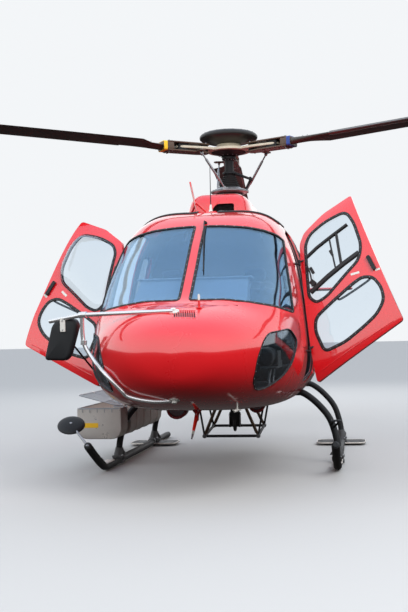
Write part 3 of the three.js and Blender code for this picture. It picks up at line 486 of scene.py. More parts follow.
def curved(points, steps=8):
    # a smooth line through the points
    places = [Vector(p) for p in points]
    out = []
    for i in range(len(places) - 1):
        p0, p1 = places[max(i - 1, 0)], places[i]
        p2, p3 = places[i + 1], places[min(i + 2, len(places) - 1)]
        for s in range(steps):
            t = s / steps
            out.append(0.5 * (2 * p1 + (p2 - p0) * t + (2 * p0 - 5 * p1 + 4 * p2 - p3) * t * t
                              + (3 * p1 - p0 - 3 * p2 + p3) * t ** 3))
    out.append(places[-1])
    return out


def tube(points, radius, sides):
    radii = radius if isinstance(radius, (list, tuple)) else [radius] * len(points)
    rings = []
    for (place, along, side), r in zip(framesAlong(points), radii):
        other = along.cross(side)
        rings.append([place + (side * math.cos(a) + other * math.sin(a)) * r for a in turns(sides)])
    return skinOver(rings)


def rod(start, end, radius, sides):
    return tube([start, end], radius, sides)


def spun(outline, place, axis, sides):
    # (radius, height) pairs turned round an axis through a place
    axis = Vector(axis).normalized()
    side = axis.orthogonal().normalized()
    other = axis.cross(side)
    rings = []
    for a in turns(sides):
        way = side * math.cos(a) + other * math.sin(a)
        rings.append([Vector(place) + way * r + axis * h for r, h in outline])
    count = len(outline)
    points = [p for ring in rings for p in ring]
    faces = []
    for i in range(sides):
        j = (i + 1) % sides
        for k in range(count - 1):
            faces.append((i * count + k, j * count + k, j * count + k + 1, i * count + k + 1))
    return facingOut(meshFrom(points, faces), True)


def upright(outline, sides=48):
    return spun(outline, (0, 0, 0), (0, 0, 1), sides)


def rounded(outline, radius, steps=8):
    out = []
    count = len(outline)
    for i, point in enumerate(outline):
        here = Vector(point)
        before, after = Vector(outline[i - 1]) - here, Vector(outline[(i + 1) % count]) - here
        reach = min(radius, before.length * 0.45, after.length * 0.45)
        start, end = here + before.normalized() * reach, here + after.normalized() * reach
        for s in range(steps + 1):
            t = s / steps
            out.append(tuple(start * (1 - t) ** 2 + here * 2 * t * (1 - t) + end * t * t))
    return out


def offset(outline, distance):
    count = len(outline)
    area = sum(outline[i][0] * outline[(i + 1) % count][1] - outline[(i + 1) % count][0] * outline[i][1]
               for i in range(count))
    d = distance if area > 0 else -distance
    out = []
    for i in range(count):
        here = Vector(outline[i])
        a, b = here - Vector(outline[i - 1]), Vector(outline[(i + 1) % count]) - here
        m, n = Vector((a.y, -a.x)).normalized(), Vector((b.y, -b.x)).normalized()
        out.append(tuple(here + (m + n) * (d / (1 + m.dot(n)))))
    return out


# A plate with softened edges between two heights along an axis
def plate(outline, axis, start, end, bevel):
    def ring(w, inset):
        return acrossAxis(offset(outline, -inset) if inset else outline, axis, w)
    step = bevel if end > start else -bevel
    return skinOver([ring(start, bevel), ring(start + step, 0), ring(end - step, 0), ring(end, bevel)])


def softBox(x0, x1, y0, y1, z0, z1, corner, bevel, axis="z"):
    spans = {"x": (y0, y1, z0, z1, x0, x1), "y": (x0, x1, z0, z1, y0, y1), "z": (x0, x1, y0, y1, z0, z1)}[axis]
    u0, u1, v0, v1, start, end = spans
    return plate(rounded([(u0, v0), (u1, v0), (u1, v1), (u0, v1)], corner, 5), axis, start, end, bevel)


# The fuselage: station, half width, bottom, widest height, top, how square above and below, lean
bodyTable = [
    (-3450, 50, 1095, 1140, 1185, 2.0, 2.0, 0), (-3420, 240, 975, 1140, 1300, 2.1, 2.1, 0),
    (-3330, 420, 875, 1150, 1400, 2.2, 2.2, 0), (-3150, 600, 790, 1170, 1490, 2.3, 2.4, 0.02),
    (-2900, 740, 730, 1190, 1575, 2.5, 2.7, 0.04), (-2600, 835, 690, 1200, 1800, 2.9, 3.1, 0.09),
    (-2200, 900, 660, 1210, 2130, 3.7, 3.6, 0.14), (-1800, 930, 650, 1220, 2380, 4.2, 3.8, 0.17),
    (-1400, 937, 650, 1230, 2460, 4.5, 3.8, 0.18), (-800, 937, 650, 1240, 2480, 4.5, 3.8, 0.18),
    (-100, 925, 655, 1250, 2440, 4.2, 3.6, 0.18), (500, 840, 700, 1310, 2250, 3.6, 3.2, 0.16),
    (1100, 670, 860, 1460, 2130, 3.0, 2.7, 0.1), (1600, 450, 1170, 1680, 2120, 2.4, 2.3, 0.04),
    (2000, 310, 1520, 1830, 2140, 2.0, 2.0, 0),
]
bodyStart, bodyEnd = bodyTable[0][0], bodyTable[-1][0]


def columnSlopes(column, table=bodyTable):
    rise = [(b[column] - a[column]) / (b[0] - a[0]) for a, b in zip(table, table[1:])]
    slopes = []
    for i in range(len(table)):
        if i in (0, len(rise)):
            slopes.append(rise[min(i, len(rise) - 1)])
        elif rise[i - 1] * rise[i] <= 0:
            slopes.append(0.0)
        else:
            before, after = table[i][0] - table[i - 1][0], table[i + 1][0] - table[i][0]
            weights = (2 * after + before) / rise[i - 1] + (after + 2 * before) / rise[i]
            slopes.append(3 * (before + after) / weights)
    return slopes


bodySlopes = [columnSlopes(column) for column in range(1, 8)]


# A table's columns at a share of the way from row i to the next, along smooth lines
def smoothRow(table, slopes, i, t):
    a, b = table[i], table[i + 1]
    h = b[0] - a[0]
    w = (2 * t ** 3 - 3 * t ** 2 + 1, (t ** 3 - 2 * t ** 2 + t) * h, 3 * t ** 2 - 2 * t ** 3, (t ** 3 - t ** 2) * h)
    return [w[0] * a[c + 1] + w[1] * slopes[c][i] + w[2] * b[c + 1] + w[3] * slopes[c][i + 1]
            for c in range(len(slopes))]


def sectionAt(y):
    i = max([k for k, row in enumerate(bodyTable[:-1]) if row[0] <= y], default=0)
    a, b = bodyTable[i], bodyTable[i + 1]
    return smoothRow(bodyTable, bodySlopes, i, min(max((y - a[0]) / (b[0] - a[0]), 0), 1))


# How far up or down a section a height lies, with how square the section is there and how far it leans
def partOfSection(y, z):
    half, bottom, widest, top, upper, lower, lean = sectionAt(y)
    if z > widest:
        return half, (z - widest) / (top - widest), upper, lean
    return half, (z - widest) / (bottom - widest), lower, 0


# Below 0 inside the fuselage and above 0 outside it
def bodyLevel(p):
    half, t, power, lean = partOfSection(p[1], p[2])
    return (abs(p[0]) / (half * (1 - lean * min(t, 1.5)))) ** power + t ** power - 1


def halfWidth(y, z):
    half, t, power, lean = partOfSection(y, z)
    return half * (1 - lean * t) * max(1 - t ** power, 0) ** (1 / power)


def bodyNormal(p):
    step = 1.0
    slope = Vector([bodyLevel(Vector(p) + d) - bodyLevel(Vector(p) - d)
                    for d in (Vector((step, 0, 0)), Vector((0, step, 0)), Vector((0, 0, step)))])
    return slope.normalized()


walkStep, walkReach = 20.0, 4000.0


# The first place of the fuselage's skin on a line, moved out by lift
def onBody(start, direction, lift=0.0):
    start, direction = Vector(start), Vector(direction).normalized()
    near, far, walked = None, None, 0.0
    while walked < walkReach:
        p = start + direction * walked
        if bodyStart <= p.y <= bodyEnd and bodyLevel(p) < 0:
            near, far = walked - walkStep, walked
            break
        walked += walkStep
    if far is None:
        return start
    for _ in range(24):
        middle = (near + far) / 2
        p = start + direction * middle
        if bodyStart <= p.y <= bodyEnd and bodyLevel(p) < 0:
            far = middle
        else:
            near = middle
    found = start + direction * far
    return found + bodyNormal(found) * lift if lift else found


# A section's points at even steps round it
def bodyRing(y, inset, sides):
    half, bottom, widest, top, upper, lower, lean = sectionAt(y)
    dense, fine = [], 1440
    for a in turns(fine):
        c, n = math.cos(a), math.sin(a)
        power = 2 / (upper if n >= 0 else lower)
        height = (top - widest if n >= 0 else widest - bottom) - inset
        rise = math.copysign(abs(n) ** power, n)
        x = (half - inset) * math.copysign(abs(c) ** power, c) * (1 - lean * max(rise, 0))
        dense.append(Vector((x, y, widest + height * rise)))
    lengths = [0.0]
    for i in range(fine):
        lengths.append(lengths[-1] + (dense[(i + 1) % fine] - dense[i]).length)
    ring, k = [], 0
    for i in range(sides):
        goal = lengths[-1] * i / sides
        while lengths[k + 1] < goal:
            k += 1
        t = (goal - lengths[k]) / max(lengths[k + 1] - lengths[k], 1e-6)
        ring.append(dense[k].lerp(dense[(k + 1) % fine], t))
    return ring


def bodyStations(front, rear):
    places = [bodyStart + 1.5 * i * i for i in range(1, 15)]  # close together round the nose
    y = places[-1]
    while y < bodyEnd:
        y += 45.0
        places.append(y)
    return [front] + [p for p in places if front + 8 < p < rear - 8] + [rear]


hullSides = 120


def hull(inset, front=bodyStart, rear=bodyEnd):
    return skinOver([bodyRing(y, inset, hullSides) for y in bodyStations(front, rear)])


farAhead, farBelow, farAbove, farOut = -3600, 300, 2700, 1200  # beyond the fuselage, for what cuts it
gap, seam, doorThick, cowlThick, paneDepth, paneThick = 0.3, 6.0, 32.0, 18.0, 5.0, 8.0
sillRoom = 12.0  # under the front doors
bulkheadY, bulkheadThick, floorTop = -420.0, 20.0, 830.0
outerHull = hull(0.0)
cabinWall = less(outerHull, hull(doorThick, bodyStart + doorThick + 30, bodyEnd - doorThick))
thinWall = less(outerHull, hull(cowlThick, bodyStart + cowlThick + 30, bodyEnd - cowlThick))
paneWall = less(hull(paneDepth), hull(paneDepth + paneThick, -3400.0, 1980.0))
print("fuselage walls:", len(cabinWall.polygons), len(thinWall.polygons), len(paneWall.polygons), "faces")


def doorFront(z):
    return -2140 + 0.373 * (z - 890)


frontDoorLine = rounded([(doorFront(890), 890), (-1238, 950), (-1068, 2262), (-1360, 2268), (-1600, 2205),
                         (doorFront(2120), 2120)], 30)
upperWindowLine = rounded([(-1838, 1590), (-1800, 1496), (-1690, 1494), (-1440, 1580), (-1290, 1625), (-1205, 1740),
                           (-1160, 1980), (-1175, 2140), (-1380, 2175), (-1560, 2150), (-1640, 2080)], 80)
lowerWindowLine = rounded([(-1950, 1070), (-1930, 1290), (-1868, 1392), (-1695, 1430), (-1469, 1470), (-1345, 1480),
                           (-1262, 1420), (-1245, 1290), (-1280, 1180), (-1390, 1105), (-1540, 1072),
                           (-1750, 1045)], 60)
rearDoorLine = rounded([(-1180, 945), (-470, 945), (-470, 2180), (-560, 2230), (-990, 2215)], 60)
rearWindowLine = rounded([(-1075, 1420), (-560, 1420), (-560, 2070), (-640, 2120), (-955, 2110)], 60)
bayDoorLine = rounded([(40, 860), (700, 880), (700, 1560), (40, 1560)], 50)
screenLine = rounded([(38, 1575), (326, 1572), (502, 1549), (695, 1515), (835, 1466), (800, 1700), (722, 2130),
                      (663, 2176), (554, 2212), (412, 2241), (217, 2260), (38, 2267)], 22)
chinLine = rounded([(-1640, 1310), (-1285, 1345), (-1135, 1245), (-1270, 1070), (-1440, 950), (-1615, 872),
                    (-1720, 862), (-1812, 937), (-1817, 1104), (-1735, 1245)], 60)
skylightLine = rounded([(110, -1650), (640, -1500), (640, -900), (110, -900)], 50)
footLine = [(farAhead, 1530), (-2900, 1530), (-2430, 1415), (doorFront(1415) - seam, 1415)]
chinTurn = Matrix.Rotation(math.radians(-45), 4, "Z")


def sideCut(outline, side):
    return prism(outline, "x", 250, 1400) if side > 0 else prism(outline, "x", -1400, -250)


def throughSide(outline):
    return prism(outline, "x", -farOut, farOut)


def screenCut(outline, rear=-1730):
    return prism(outline, "y", farAhead, rear)


def roofCut(outline):
    return prism(outline, "z", 2000, farAbove)


def chinCut(outline):
    return movedMesh(prism(outline, "x", 700, 3600), chinTurn)


def slab(front, rear, low=farBelow, high=farAbove):
    return box(-farOut, farOut, front, rear, low, high)


def bothSides(mesh):
    return joinMeshes(mesh, mirrored(mesh))


# Nose, windscreen, roof and sides, cut from the walls along the same lines as the solids
shellSetup = {"floorFront": -2720, "roofLine": 2030.0}


def buildShell():
    floorFront, roofLine = shellSetup["floorFront"], shellSetup["roofLine"]
    noseLine = [(farAhead, farBelow), (floorFront - gap, farBelow), (floorFront - gap, floorTop + gap),
                (doorFront(floorTop) - seam, floorTop + gap)] + footLine[::-1]
    nose = less(shared(thinWall, throughSide(noseLine)), bothSides(chinCut(chinLine)), ventSlots())
    makePiece("nose_skin", nose, "redPaint", replaced=["nose_shell"])
    makePair("chin_pane", shared(paneWall, chinCut(offset(chinLine, -gap))), "chinPane", "chin_window")

    roofFront = doorFront(roofLine) - seam
    frameLine = [(y, z + gap) for y, z in footLine] + [(roofFront, roofLine), (roofFront, 2500), (farAhead, 2500)]
    screenFrame = less(shared(cabinWall, throughSide(frameLine)), bothSides(screenCut(screenLine)))
    makePiece("windscreen_frame_skin", screenFrame, "redPaint", replaced=["windscreen_frame"])
    pane = shared(paneWall, screenCut(offset(screenLine, -gap), -1730 - gap))
    makePair("windscreen_pane", pane, "screenPane", "windscreen")

    doorway = offset(frontDoorLine, seam)
    lowered = [(y, z - sillRoom) for y, z in doorway]
    doorHoles = [bothSides(sideCut(line, 1)) for line in (doorway, lowered, offset(rearDoorLine, gap))]
    roof = [(roofFront + gap, roofLine + gap), (bulkheadY - gap, roofLine + gap), (bulkheadY - gap, 2600),
            (roofFront + gap, 2600)]
    roofPanel = less(shared(cabinWall, throughSide(roof)), bothSides(roofCut(skylightLine)), *doorHoles)
    makePiece("roof_skin", roofPanel, "redPaint", replaced=["roof_panel"])
    makePair("skylight_pane", shared(paneWall, roofCut(offset(skylightLine, -gap))), "glazing", "skylight")
    behind = [(doorFront(floorTop) - seam + gap, floorTop + gap), (bulkheadY - gap, floorTop + gap),
              (bulkheadY - gap, roofLine), (roofFront + gap, roofLine)]
    sides = less(shared(cabinWall, prism(behind, "x", 0, farOut)), *doorHoles)
    makePair("side_skin", sides, "redPaint", "side_frame")
    bulkhead = slab(bulkheadY, bulkheadY + bulkheadThick)
    wall = shared(hull(cowlThick + gap), bulkhead)
    makePiece("bulkhead_wall", wall, "trim", replaced=["rear_bulkhead"])
    makePiece("bulkhead_rim", shared(thinWall, bulkhead), "redPaint")
    floor = shared(outerHull, slab(floorFront, bulkheadY - gap, high=floorTop))
    makePiece("belly_and_floor", floor, "redPaint", replaced=["cabin_floor"])

    bayHoles = bothSides(sideCut(offset(bayDoorLine, seam), 1))
    centre = less(shared(thinWall, slab(bulkheadY + bulkheadThick + gap, 2100)), bayHoles)
    makePiece("centre_skin", centre, "redPaint", replaced=["centre_body"])
    makePair("bay_door_skin", shared(thinWall, sideCut(bayDoorLine, 1)), "redPaint", "bay_door", True)
    print("shell built")


# Paths of (place, normal) pairs on the fuselage's skin
def sidePath(line, side, step=14.0, closed=True):
    out = []
    for y, z in evenly(line, step, closed):
        place = Vector((side * halfWidth(y, z), y, z))
        out.append((place, bodyNormal(place)))
    return out


def castPath(line, side, start, direction, step, closed=True):
    # start turns a point of the line into a place outside the skin, seen from which direction leads in
    out = []
    for u, v in evenly(line, step, closed):
        place = onBody(start(u, v), direction)
        normal = bodyNormal(place)
        if side < 0:
            place, normal = flipX @ place, flipX @ normal
        out.append((place, normal))
    return out


def screenPath(line, side, step=14.0, closed=True):
    return castPath(line, side, lambda u, v: (u, farAhead, v), (0, 1, 0), step, closed)


def chinPath(line, side):
    inward = chinTurn @ Vector((-1, 0, 0))
    return castPath(line, side, lambda u, v: chinTurn @ Vector((3200, u, v)), inward, 12.0)


def roofPath(line, side, step=14.0):
    return castPath(line, side, lambda u, v: (u, v, farAbove), (0, 0, -1), step)


# Rows of small heads along paths, made by Geometry Nodes. The points of each path carry the way that its heads face
headSetup = {"spacing": 52.0, "radius": 4.0, "height": 1.6}


def shapeTree(name, measures):
    tree = bpy.data.node_groups.new(name, "GeometryNodeTree")
    tree.is_modifier = True
    floats = [(key, "Float") for key in measures]
    for key, kind in [("Geometry", "Geometry"), *floats, ("Sides", "Int"), ("Finish", "Material")]:
        tree.interface.new_socket(key, in_out="INPUT", socket_type="NodeSocket" + kind)
    tree.interface.new_socket("Geometry", in_out="OUTPUT", socket_type="NodeSocketGeometry")

    def node(kind, **settings):
        made = tree.nodes.new(kind)
        for key, value in settings.items():
            setattr(made, key, value)
        return made

    link = tree.links.new
    source, paint, result = node("NodeGroupInput"), node("GeometryNodeSetMaterial"), node("NodeGroupOutput")
    link(source.outputs["Finish"], paint.inputs["Material"])
    link(paint.outputs["Geometry"], result.inputs["Geometry"])
    return tree, node, link, source, paint


def headTree(name, alongPath):
    tree, node, link, source, paint = shapeTree(name, ("Spacing", "Head Radius", "Head Height"))
    facing = node("GeometryNodeInputNamedAttribute", data_type="FLOAT_VECTOR")
    facing.inputs["Name"].default_value = "facing"
    turn = node("FunctionNodeAlignRotationToVector", axis="Z")
    link(facing.outputs["Attribute"], turn.inputs["Vector"])
    head = node("GeometryNodeMeshCone", fill_type="NGON")
    head.inputs["Radius Bottom"].default_value, head.inputs["Radius Top"].default_value = 1.0, 0.72
    head.inputs["Depth"].default_value = 1.0
    link(source.outputs["Sides"], head.inputs["Vertices"])
    size = node("ShaderNodeCombineXYZ")
    for axis in ("X", "Y"):
        link(source.outputs["Head Radius"], size.inputs[axis])
    link(source.outputs["Head Height"], size.inputs["Z"])
    scatter = node("GeometryNodeInstanceOnPoints")
    if alongPath:
        curve, even = node("GeometryNodeMeshToCurve"), node("GeometryNodeResampleCurve", mode="LENGTH")
        link(source.outputs["Geometry"], curve.inputs["Mesh"])
        link(curve.outputs["Curve"], even.inputs["Curve"])
        link(source.outputs["Spacing"], even.inputs["Length"])
        link(even.outputs["Curve"], scatter.inputs["Points"])
    else:
        link(source.outputs["Geometry"], scatter.inputs["Points"])
    link(head.outputs["Mesh"], scatter.inputs["Instance"])
    link(turn.outputs["Rotation"], scatter.inputs["Rotation"])
    link(size.outputs["Vector"], scatter.inputs["Scale"])
    real = node("GeometryNodeRealizeInstances")
    link(scatter.outputs["Instances"], real.inputs["Geometry"])
    link(real.outputs["Geometry"], paint.inputs["Geometry"])
    return tree


rowTree, spotTree = headTree("headRows", True), headTree("headSpots", False)


def setInputs(modifier, tree, values):
    for item in tree.interface.items_tree:
        if item.item_type == "SOCKET" and item.in_out == "INPUT" and item.name in values:
            modifier[item.identifier] = values[item.name]


# The plain mesh that a node tree makes of a mesh
def grown(mesh, tree, values):
    carrier = linked("carrier", mesh)
    modifier = carrier.modifiers.new("grow", "NODES")
    modifier.node_group = tree
    setInputs(modifier, tree, values)
    result = evaluated(carrier)
    bpy.data.objects.remove(carrier)
    return result


# Points of several lines with the edges between them
def lineMesh(lines, closed=False, edged=True):
    points, edges = [], []
    for line in lines:
        start = len(points)
        points += [tuple(p) for p in line]
        edges += [(i, i + 1) for i in range(start, len(points) - 1)]
        if closed:
            edges.append((len(points) - 1, start))
    mesh = bpy.data.meshes.new("lines")
    mesh.from_pydata(points, edges if edged else [], [])
    return mesh


def heads(paths, finish, spacing=None, radius=None, height=None, sides=8, closed=True, spots=False):
    mesh = lineMesh([[place for place, _ in path] for path in paths], closed, not spots)
    facing = mesh.attributes.new("facing", "FLOAT_VECTOR", "POINT")
    facing.data.foreach_set("vector", [value for path in paths for _, normal in path for value in normal])
    return grown(mesh, spotTree if spots else rowTree, {
        "Spacing": spacing or headSetup["spacing"], "Head Radius": radius or headSetup["radius"],
        "Head Height": height or headSetup["height"], "Sides": sides, "Finish": finishes[finish]})


doorHinge = {"bottom": Vector((964, -2133, 920)), "top": Vector((813, -1663, 2180))}
doorOpen = {"left": 105.0, "right": 75.0}


def doorSwing(name):
    side = 1 if name == "left" else -1
    place, axis = doorHinge["bottom"].copy(), doorHinge["top"] - doorHinge["bottom"]
    place.x *= side
    axis.x *= side
    turn = Matrix.Rotation(math.radians(-side * doorOpen[name]), 4, axis.normalized())
    return Matrix.Translation(place) @ turn @ Matrix.Translation(-place)


# The starboard upper window bulges outwards, so that the pilot can look down past the door
bubbleSetup = {"rise": 128.0, "wall": 7.0, "power": 0.6, "way": (-1.0, 0.62, 0.12)}


def bubblePane(line):
    places = evenly(line, 22)
    middle = sum(places, Vector((0, 0))) / len(places)
    way = Vector(bubbleSetup["way"]).normalized()

    def ring(share, inward):
        rise = bubbleSetup["rise"] * (1 - share ** 2) ** bubbleSetup["power"] - inward
        return [Vector((-(halfWidth(p.x, p.y) - paneDepth), p.x, p.y)) + way * rise
                for p in (middle.lerp(q, share) for q in places)]
    shares = [0.03, 0.15, 0.3, 0.45, 0.6, 0.72, 0.82, 0.9, 0.95, 0.98, 0.995, 1.0]
    return skinOver([ring(s, 0) for s in shares] + [ring(s, bubbleSetup["wall"]) for s in shares[::-1]])


def buildDoors():
    for name, side in bothNames:
        swing = doorSwing(name)
        body = "front_door_" + name
        panel = less(shared(cabinWall, sideCut(frontDoorLine, side)), sideCut(upperWindowLine, side),
                     sideCut(lowerWindowLine, side))
        makePiece(body + "_skin", movedMesh(panel, swing), "redPaint", body, [body])
        for line, place in ((upperWindowLine, "upper"), (lowerWindowLine, "lower")):
            pane = shared(paneWall, sideCut(offset(line, -gap), side))
            if place == "upper" and side < 0:
                pane = bubblePane(offset(line, -gap))
            node = body + "_" + place + "_window"
            makePiece(node + "_pane", movedMesh(pane, swing), "glazing", body, [node])
        rear = less(shared(cabinWall, sideCut(rearDoorLine, side)), sideCut(rearWindowLine, side))
        makePiece("rear_door_" + name + "_skin", rear, "redPaint", replaced=["rear_door_" + name])
        pane = shared(paneWall, sideCut(offset(rearWindowLine, -gap), side))
        makePiece("rear_door_" + name + "_pane", pane, "glazing", replaced=["rear_door_" + name + "_window"])
    print("doors built")


# Doors' and bay doors' hinges: a barrel on each side of the joint, with an arm to its wall
knuckleSetup = {"radius": 11.0, "length": 26.0, "arm": 8.0, "pin": 6.5}
frontHingePlaces, bayHingePlaces, bayHingeZ = [0.19, 0.8], [0.15, 0.85], 1569


def hingeHalf(bottom, top, share, sign, wall):
    along = (top - bottom).normalized()
    middle = bottom.lerp(top, share)
    root = middle + along * (sign * knuckleSetup["length"] / 2)
    near, far = middle + along * (sign * 0.5), middle + along * (sign * knuckleSetup["length"])
    r, thick = knuckleSetup["radius"], knuckleSetup["arm"]
    barrel = tube([near, near.lerp(far, 0.06), near.lerp(far, 0.94), far], [r - 1, r, r, r - 1], 24)
    head = rod(far, far + along * (sign * 5), knuckleSetup["pin"], 6)
    arm = tube([root, root.lerp(wall(root), 0.5), wall(root)], [thick, thick + 0.5, thick + 4], 16)
    return joinMeshes(barrel, head, arm)


def onWall(step, depth):
    return lambda p: Vector((halfWidth(p.y + step, p.z) - depth, p.y + step, p.z))


def aboveWall(rise):
    return lambda p: Vector((halfWidth(p.y, p.z + rise) - 9, p.y, p.z + rise))


def buildHinges():
    front = doorHinge["bottom"], doorHinge["top"]
    bay = [Vector((halfWidth(y, bayHingeZ) + 26, y, bayHingeZ)) for y in (60, 700)]
    fixed = [hingeHalf(*front, share, -1, onWall(-75, 9)) for share in frontHingePlaces]
    fixed += [hingeHalf(*bay, share, -1, aboveWall(60)) for share in bayHingePlaces]
    makePiece("fixed_hinges", bothSides(joinMeshes(*fixed)), "black")
    swung = joinMeshes(*[hingeHalf(*front, share, 1, onWall(37, 16)) for share in frontHingePlaces])
    lifting = joinMeshes(*[hingeHalf(*bay, share, 1, aboveWall(-60)) for share in bayHingePlaces])
    for name, front, bay in (("left", swung, lifting), ("right", mirrored(swung), mirrored(lifting))):
        makePiece("door_hinges_" + name, movedMesh(front, doorSwing(name)), "black", "front_door_" + name)
        makePiece("bay_hinges_" + name, bay, "black", "bay_door_" + name)


# Seals round the windows and the doors, and the screws and rivets along them
sealSetup = {"screen": (23.0, 4.0), "window": (27.0, 6.0), "roof": (46.0, 12.0), "chin": 9.0, "doorway": (14.0, 2.5),
             "edge": (16.0, 7.0), "sink": 6.5, "inset": 6.0}
# screws along the seals as (spacing, radius, height)
screwSetup = {"screen": (78.0, 4.6, 1.8), "window": (64.0, 3.4, 1.4), "roof": (90.0, 4.0, 1.4)}
rivetSetup = {"spacing": 38.0, "radius": 3.4, "height": 1.2}
# rivet rows on the sides as (y, z), and one along the foot of the windscreen frame
rivetLines = [[(-2300, 1075), (-2300, 780), (-2150, 745), (-430, 745)], [(-440, 780), (-440, 2150)],
              [(-395, 780), (-395, 2150)], [(-380, 1985), (900, 1985)], [(-380, 790), (700, 815)],
              [(900, 960), (900, 1960)], [(1420, 1300), (1420, 1960)], [(-1560, 2262), (-460, 2262)]]
footRivets = [(-2860, 1508), (-2500, 1402), (-2300, 1398)]


def lifted(path, height):
    return [(place + normal * height, normal) for place, normal in path]


# A path on the wall of a hole, facing into it
def rimPath(line, side, depth, inward=1):
    places = evenly(line, 20.0)
    middle = sum(places, Vector((0, 0))) / len(places)
    out = []
    for i, p in enumerate(places):
        along = places[(i + 1) % len(places)] - places[i - 1]
        normal = Vector((-along.y, along.x)).normalized()
        if normal.dot(middle - p) * inward < 0:
            normal.negate()
        out.append((Vector((side * (halfWidth(p.x, p.y) - depth), p.x, p.y)), Vector((0, normal.x, normal.y))))
    return out


def buildSeals():
    sink, inset = sealSetup["sink"], sealSetup["inset"]
    wide, high = sealSetup["screen"]
    narrow, low = sealSetup["window"]
    broad, tall = sealSetup["roof"]
    screens = [screenPath(offset(screenLine, -inset), side) for side in (1, -1)]
    panes = [chinPath(offset(chinLine, -inset), side) for side in (1, -1)]
    panes += [sidePath(offset(rearWindowLine, -inset), side) for side in (1, -1)]
    roofs = [roofPath(offset(skylightLine, -inset), side) for side in (1, -1)]
    rims = [rimPath(offset(frontDoorLine, seam), side, 22) for side in (1, -1)]
    beads = [bead(path, wide, high, sink=sink) for path in screens]
    beads += [bead(path, narrow if i > 1 else sealSetup["chin"], low, sink=sink) for i, path in enumerate(panes)]
    beads += [bead(path, broad, tall, sink=sink) for path in roofs]
    beads += [bead(path, *sealSetup["doorway"], sink=2.0) for path in rims]
    makePiece("window_seals", joinMeshes(*beads), "rubber")
    screws = [heads([lifted(path, height) for path in paths], "alloy", *screwSetup[key])
              for paths, height, key in ((screens, high, "screen"), (panes, low, "window"), (roofs, tall, "roof"))]
    makePiece("seal_screws", joinMeshes(*screws), "alloy")
    for name, side in bothNames:
        swing = doorSwing(name)
        paths = [movedPath(sidePath(offset(line, -inset), side), swing)
                 for line in (upperWindowLine, lowerWindowLine)]
        edge = movedPath(rimPath(offset(frontDoorLine, -20), side, doorThick + 1, -1), swing)
        inside = [(place, (swing.to_3x3() @ Vector((-side, 0, 0))).normalized()) for place, _ in edge]
        strips = [bead(path, narrow, low, sink=sink) for path in paths] + [bead(inside, *sealSetup["edge"], sink=3.0)]
        makePiece("door_seals_" + name, joinMeshes(*strips), "rubber", "front_door_" + name)
        screws = heads([lifted(path, low) for path in paths], "alloy", *screwSetup["window"])
        makePiece("door_seal_screws_" + name, screws, "alloy", "front_door_" + name)


def buildRivets():
    both = (1, -1)
    post = [screenPath([(40, 1585), (40, 2240)], side, 30, False) for side in both]
    pillar = [(doorFront(z) - 46, z) for z in range(1440, 2140, 40)]
    dark = post + [sidePath(pillar, side, 30, False) for side in both]
    makePiece("pillar_rivets", heads(dark, "black", 34.0, 4.2, 1.6, closed=False), "black")
    rows = [sidePath(line, side, 30, False) for line in rivetLines for side in both]
    rows += [castPath(footRivets, side, lambda u, v: (1300, u, v), (-1, 0, 0), 30, False) for side in both]
    rings = [sidePath(offset(line, 26), side) for line in (bayDoorLine, rearDoorLine) for side in both]
    paint = heads(rows, "redPaint", closed=False, **rivetSetup)
    makePiece("skin_rivets", joinMeshes(paint, heads(rings, "redPaint", **rivetSetup)), "redPaint")
    for name, side in bothNames:
        inside = sidePath(offset(bayDoorLine, -24), side)
        makePiece("bay_rivets_" + name, heads([inside], "redPaint", **rivetSetup), "redPaint", "bay_door_" + name)
    gaps = [sidePath(offset(rearDoorLine, 0.5), side) for side in both]
    makePiece("rear_door_gaps", joinMeshes(*[bead(path, 5.0, 0.5, sink=1.0) for path in gaps]), "rubber")


# Fittings on the nose: vent, wiper, probe
noseSetup = {"slots": 10, "slotWidth": 10.0, "slotStep": 17.0, "slant": 24.0, "wiperPivot": (42, -1985)}
ventPanel = [(-48, -3142), (136, -3142), (160, -3276), (-22, -3276)]


def ventSlots():
    count, width, slant = noseSetup["slots"], noseSetup["slotWidth"], noseSetup["slant"]
    cuts = []
    for i in range(count):
        x = -34 + i * noseSetup["slotStep"]
        line = [(x, -3152), (x + width, -3152), (x + width + slant, -3266), (x + slant, -3266)]
        cuts.append(prism(rounded(line, 4, 3), "z", 1380, 1560))
    return joinMeshes(*cuts)


def onTop(x, y, lift=0.0):
    return onBody((x, y, 2750), (0, 0, -1), lift)


def fromAhead(x, z, lift=0.0):
    return onBody((x, farAhead, z), (0, 1, 0), lift)


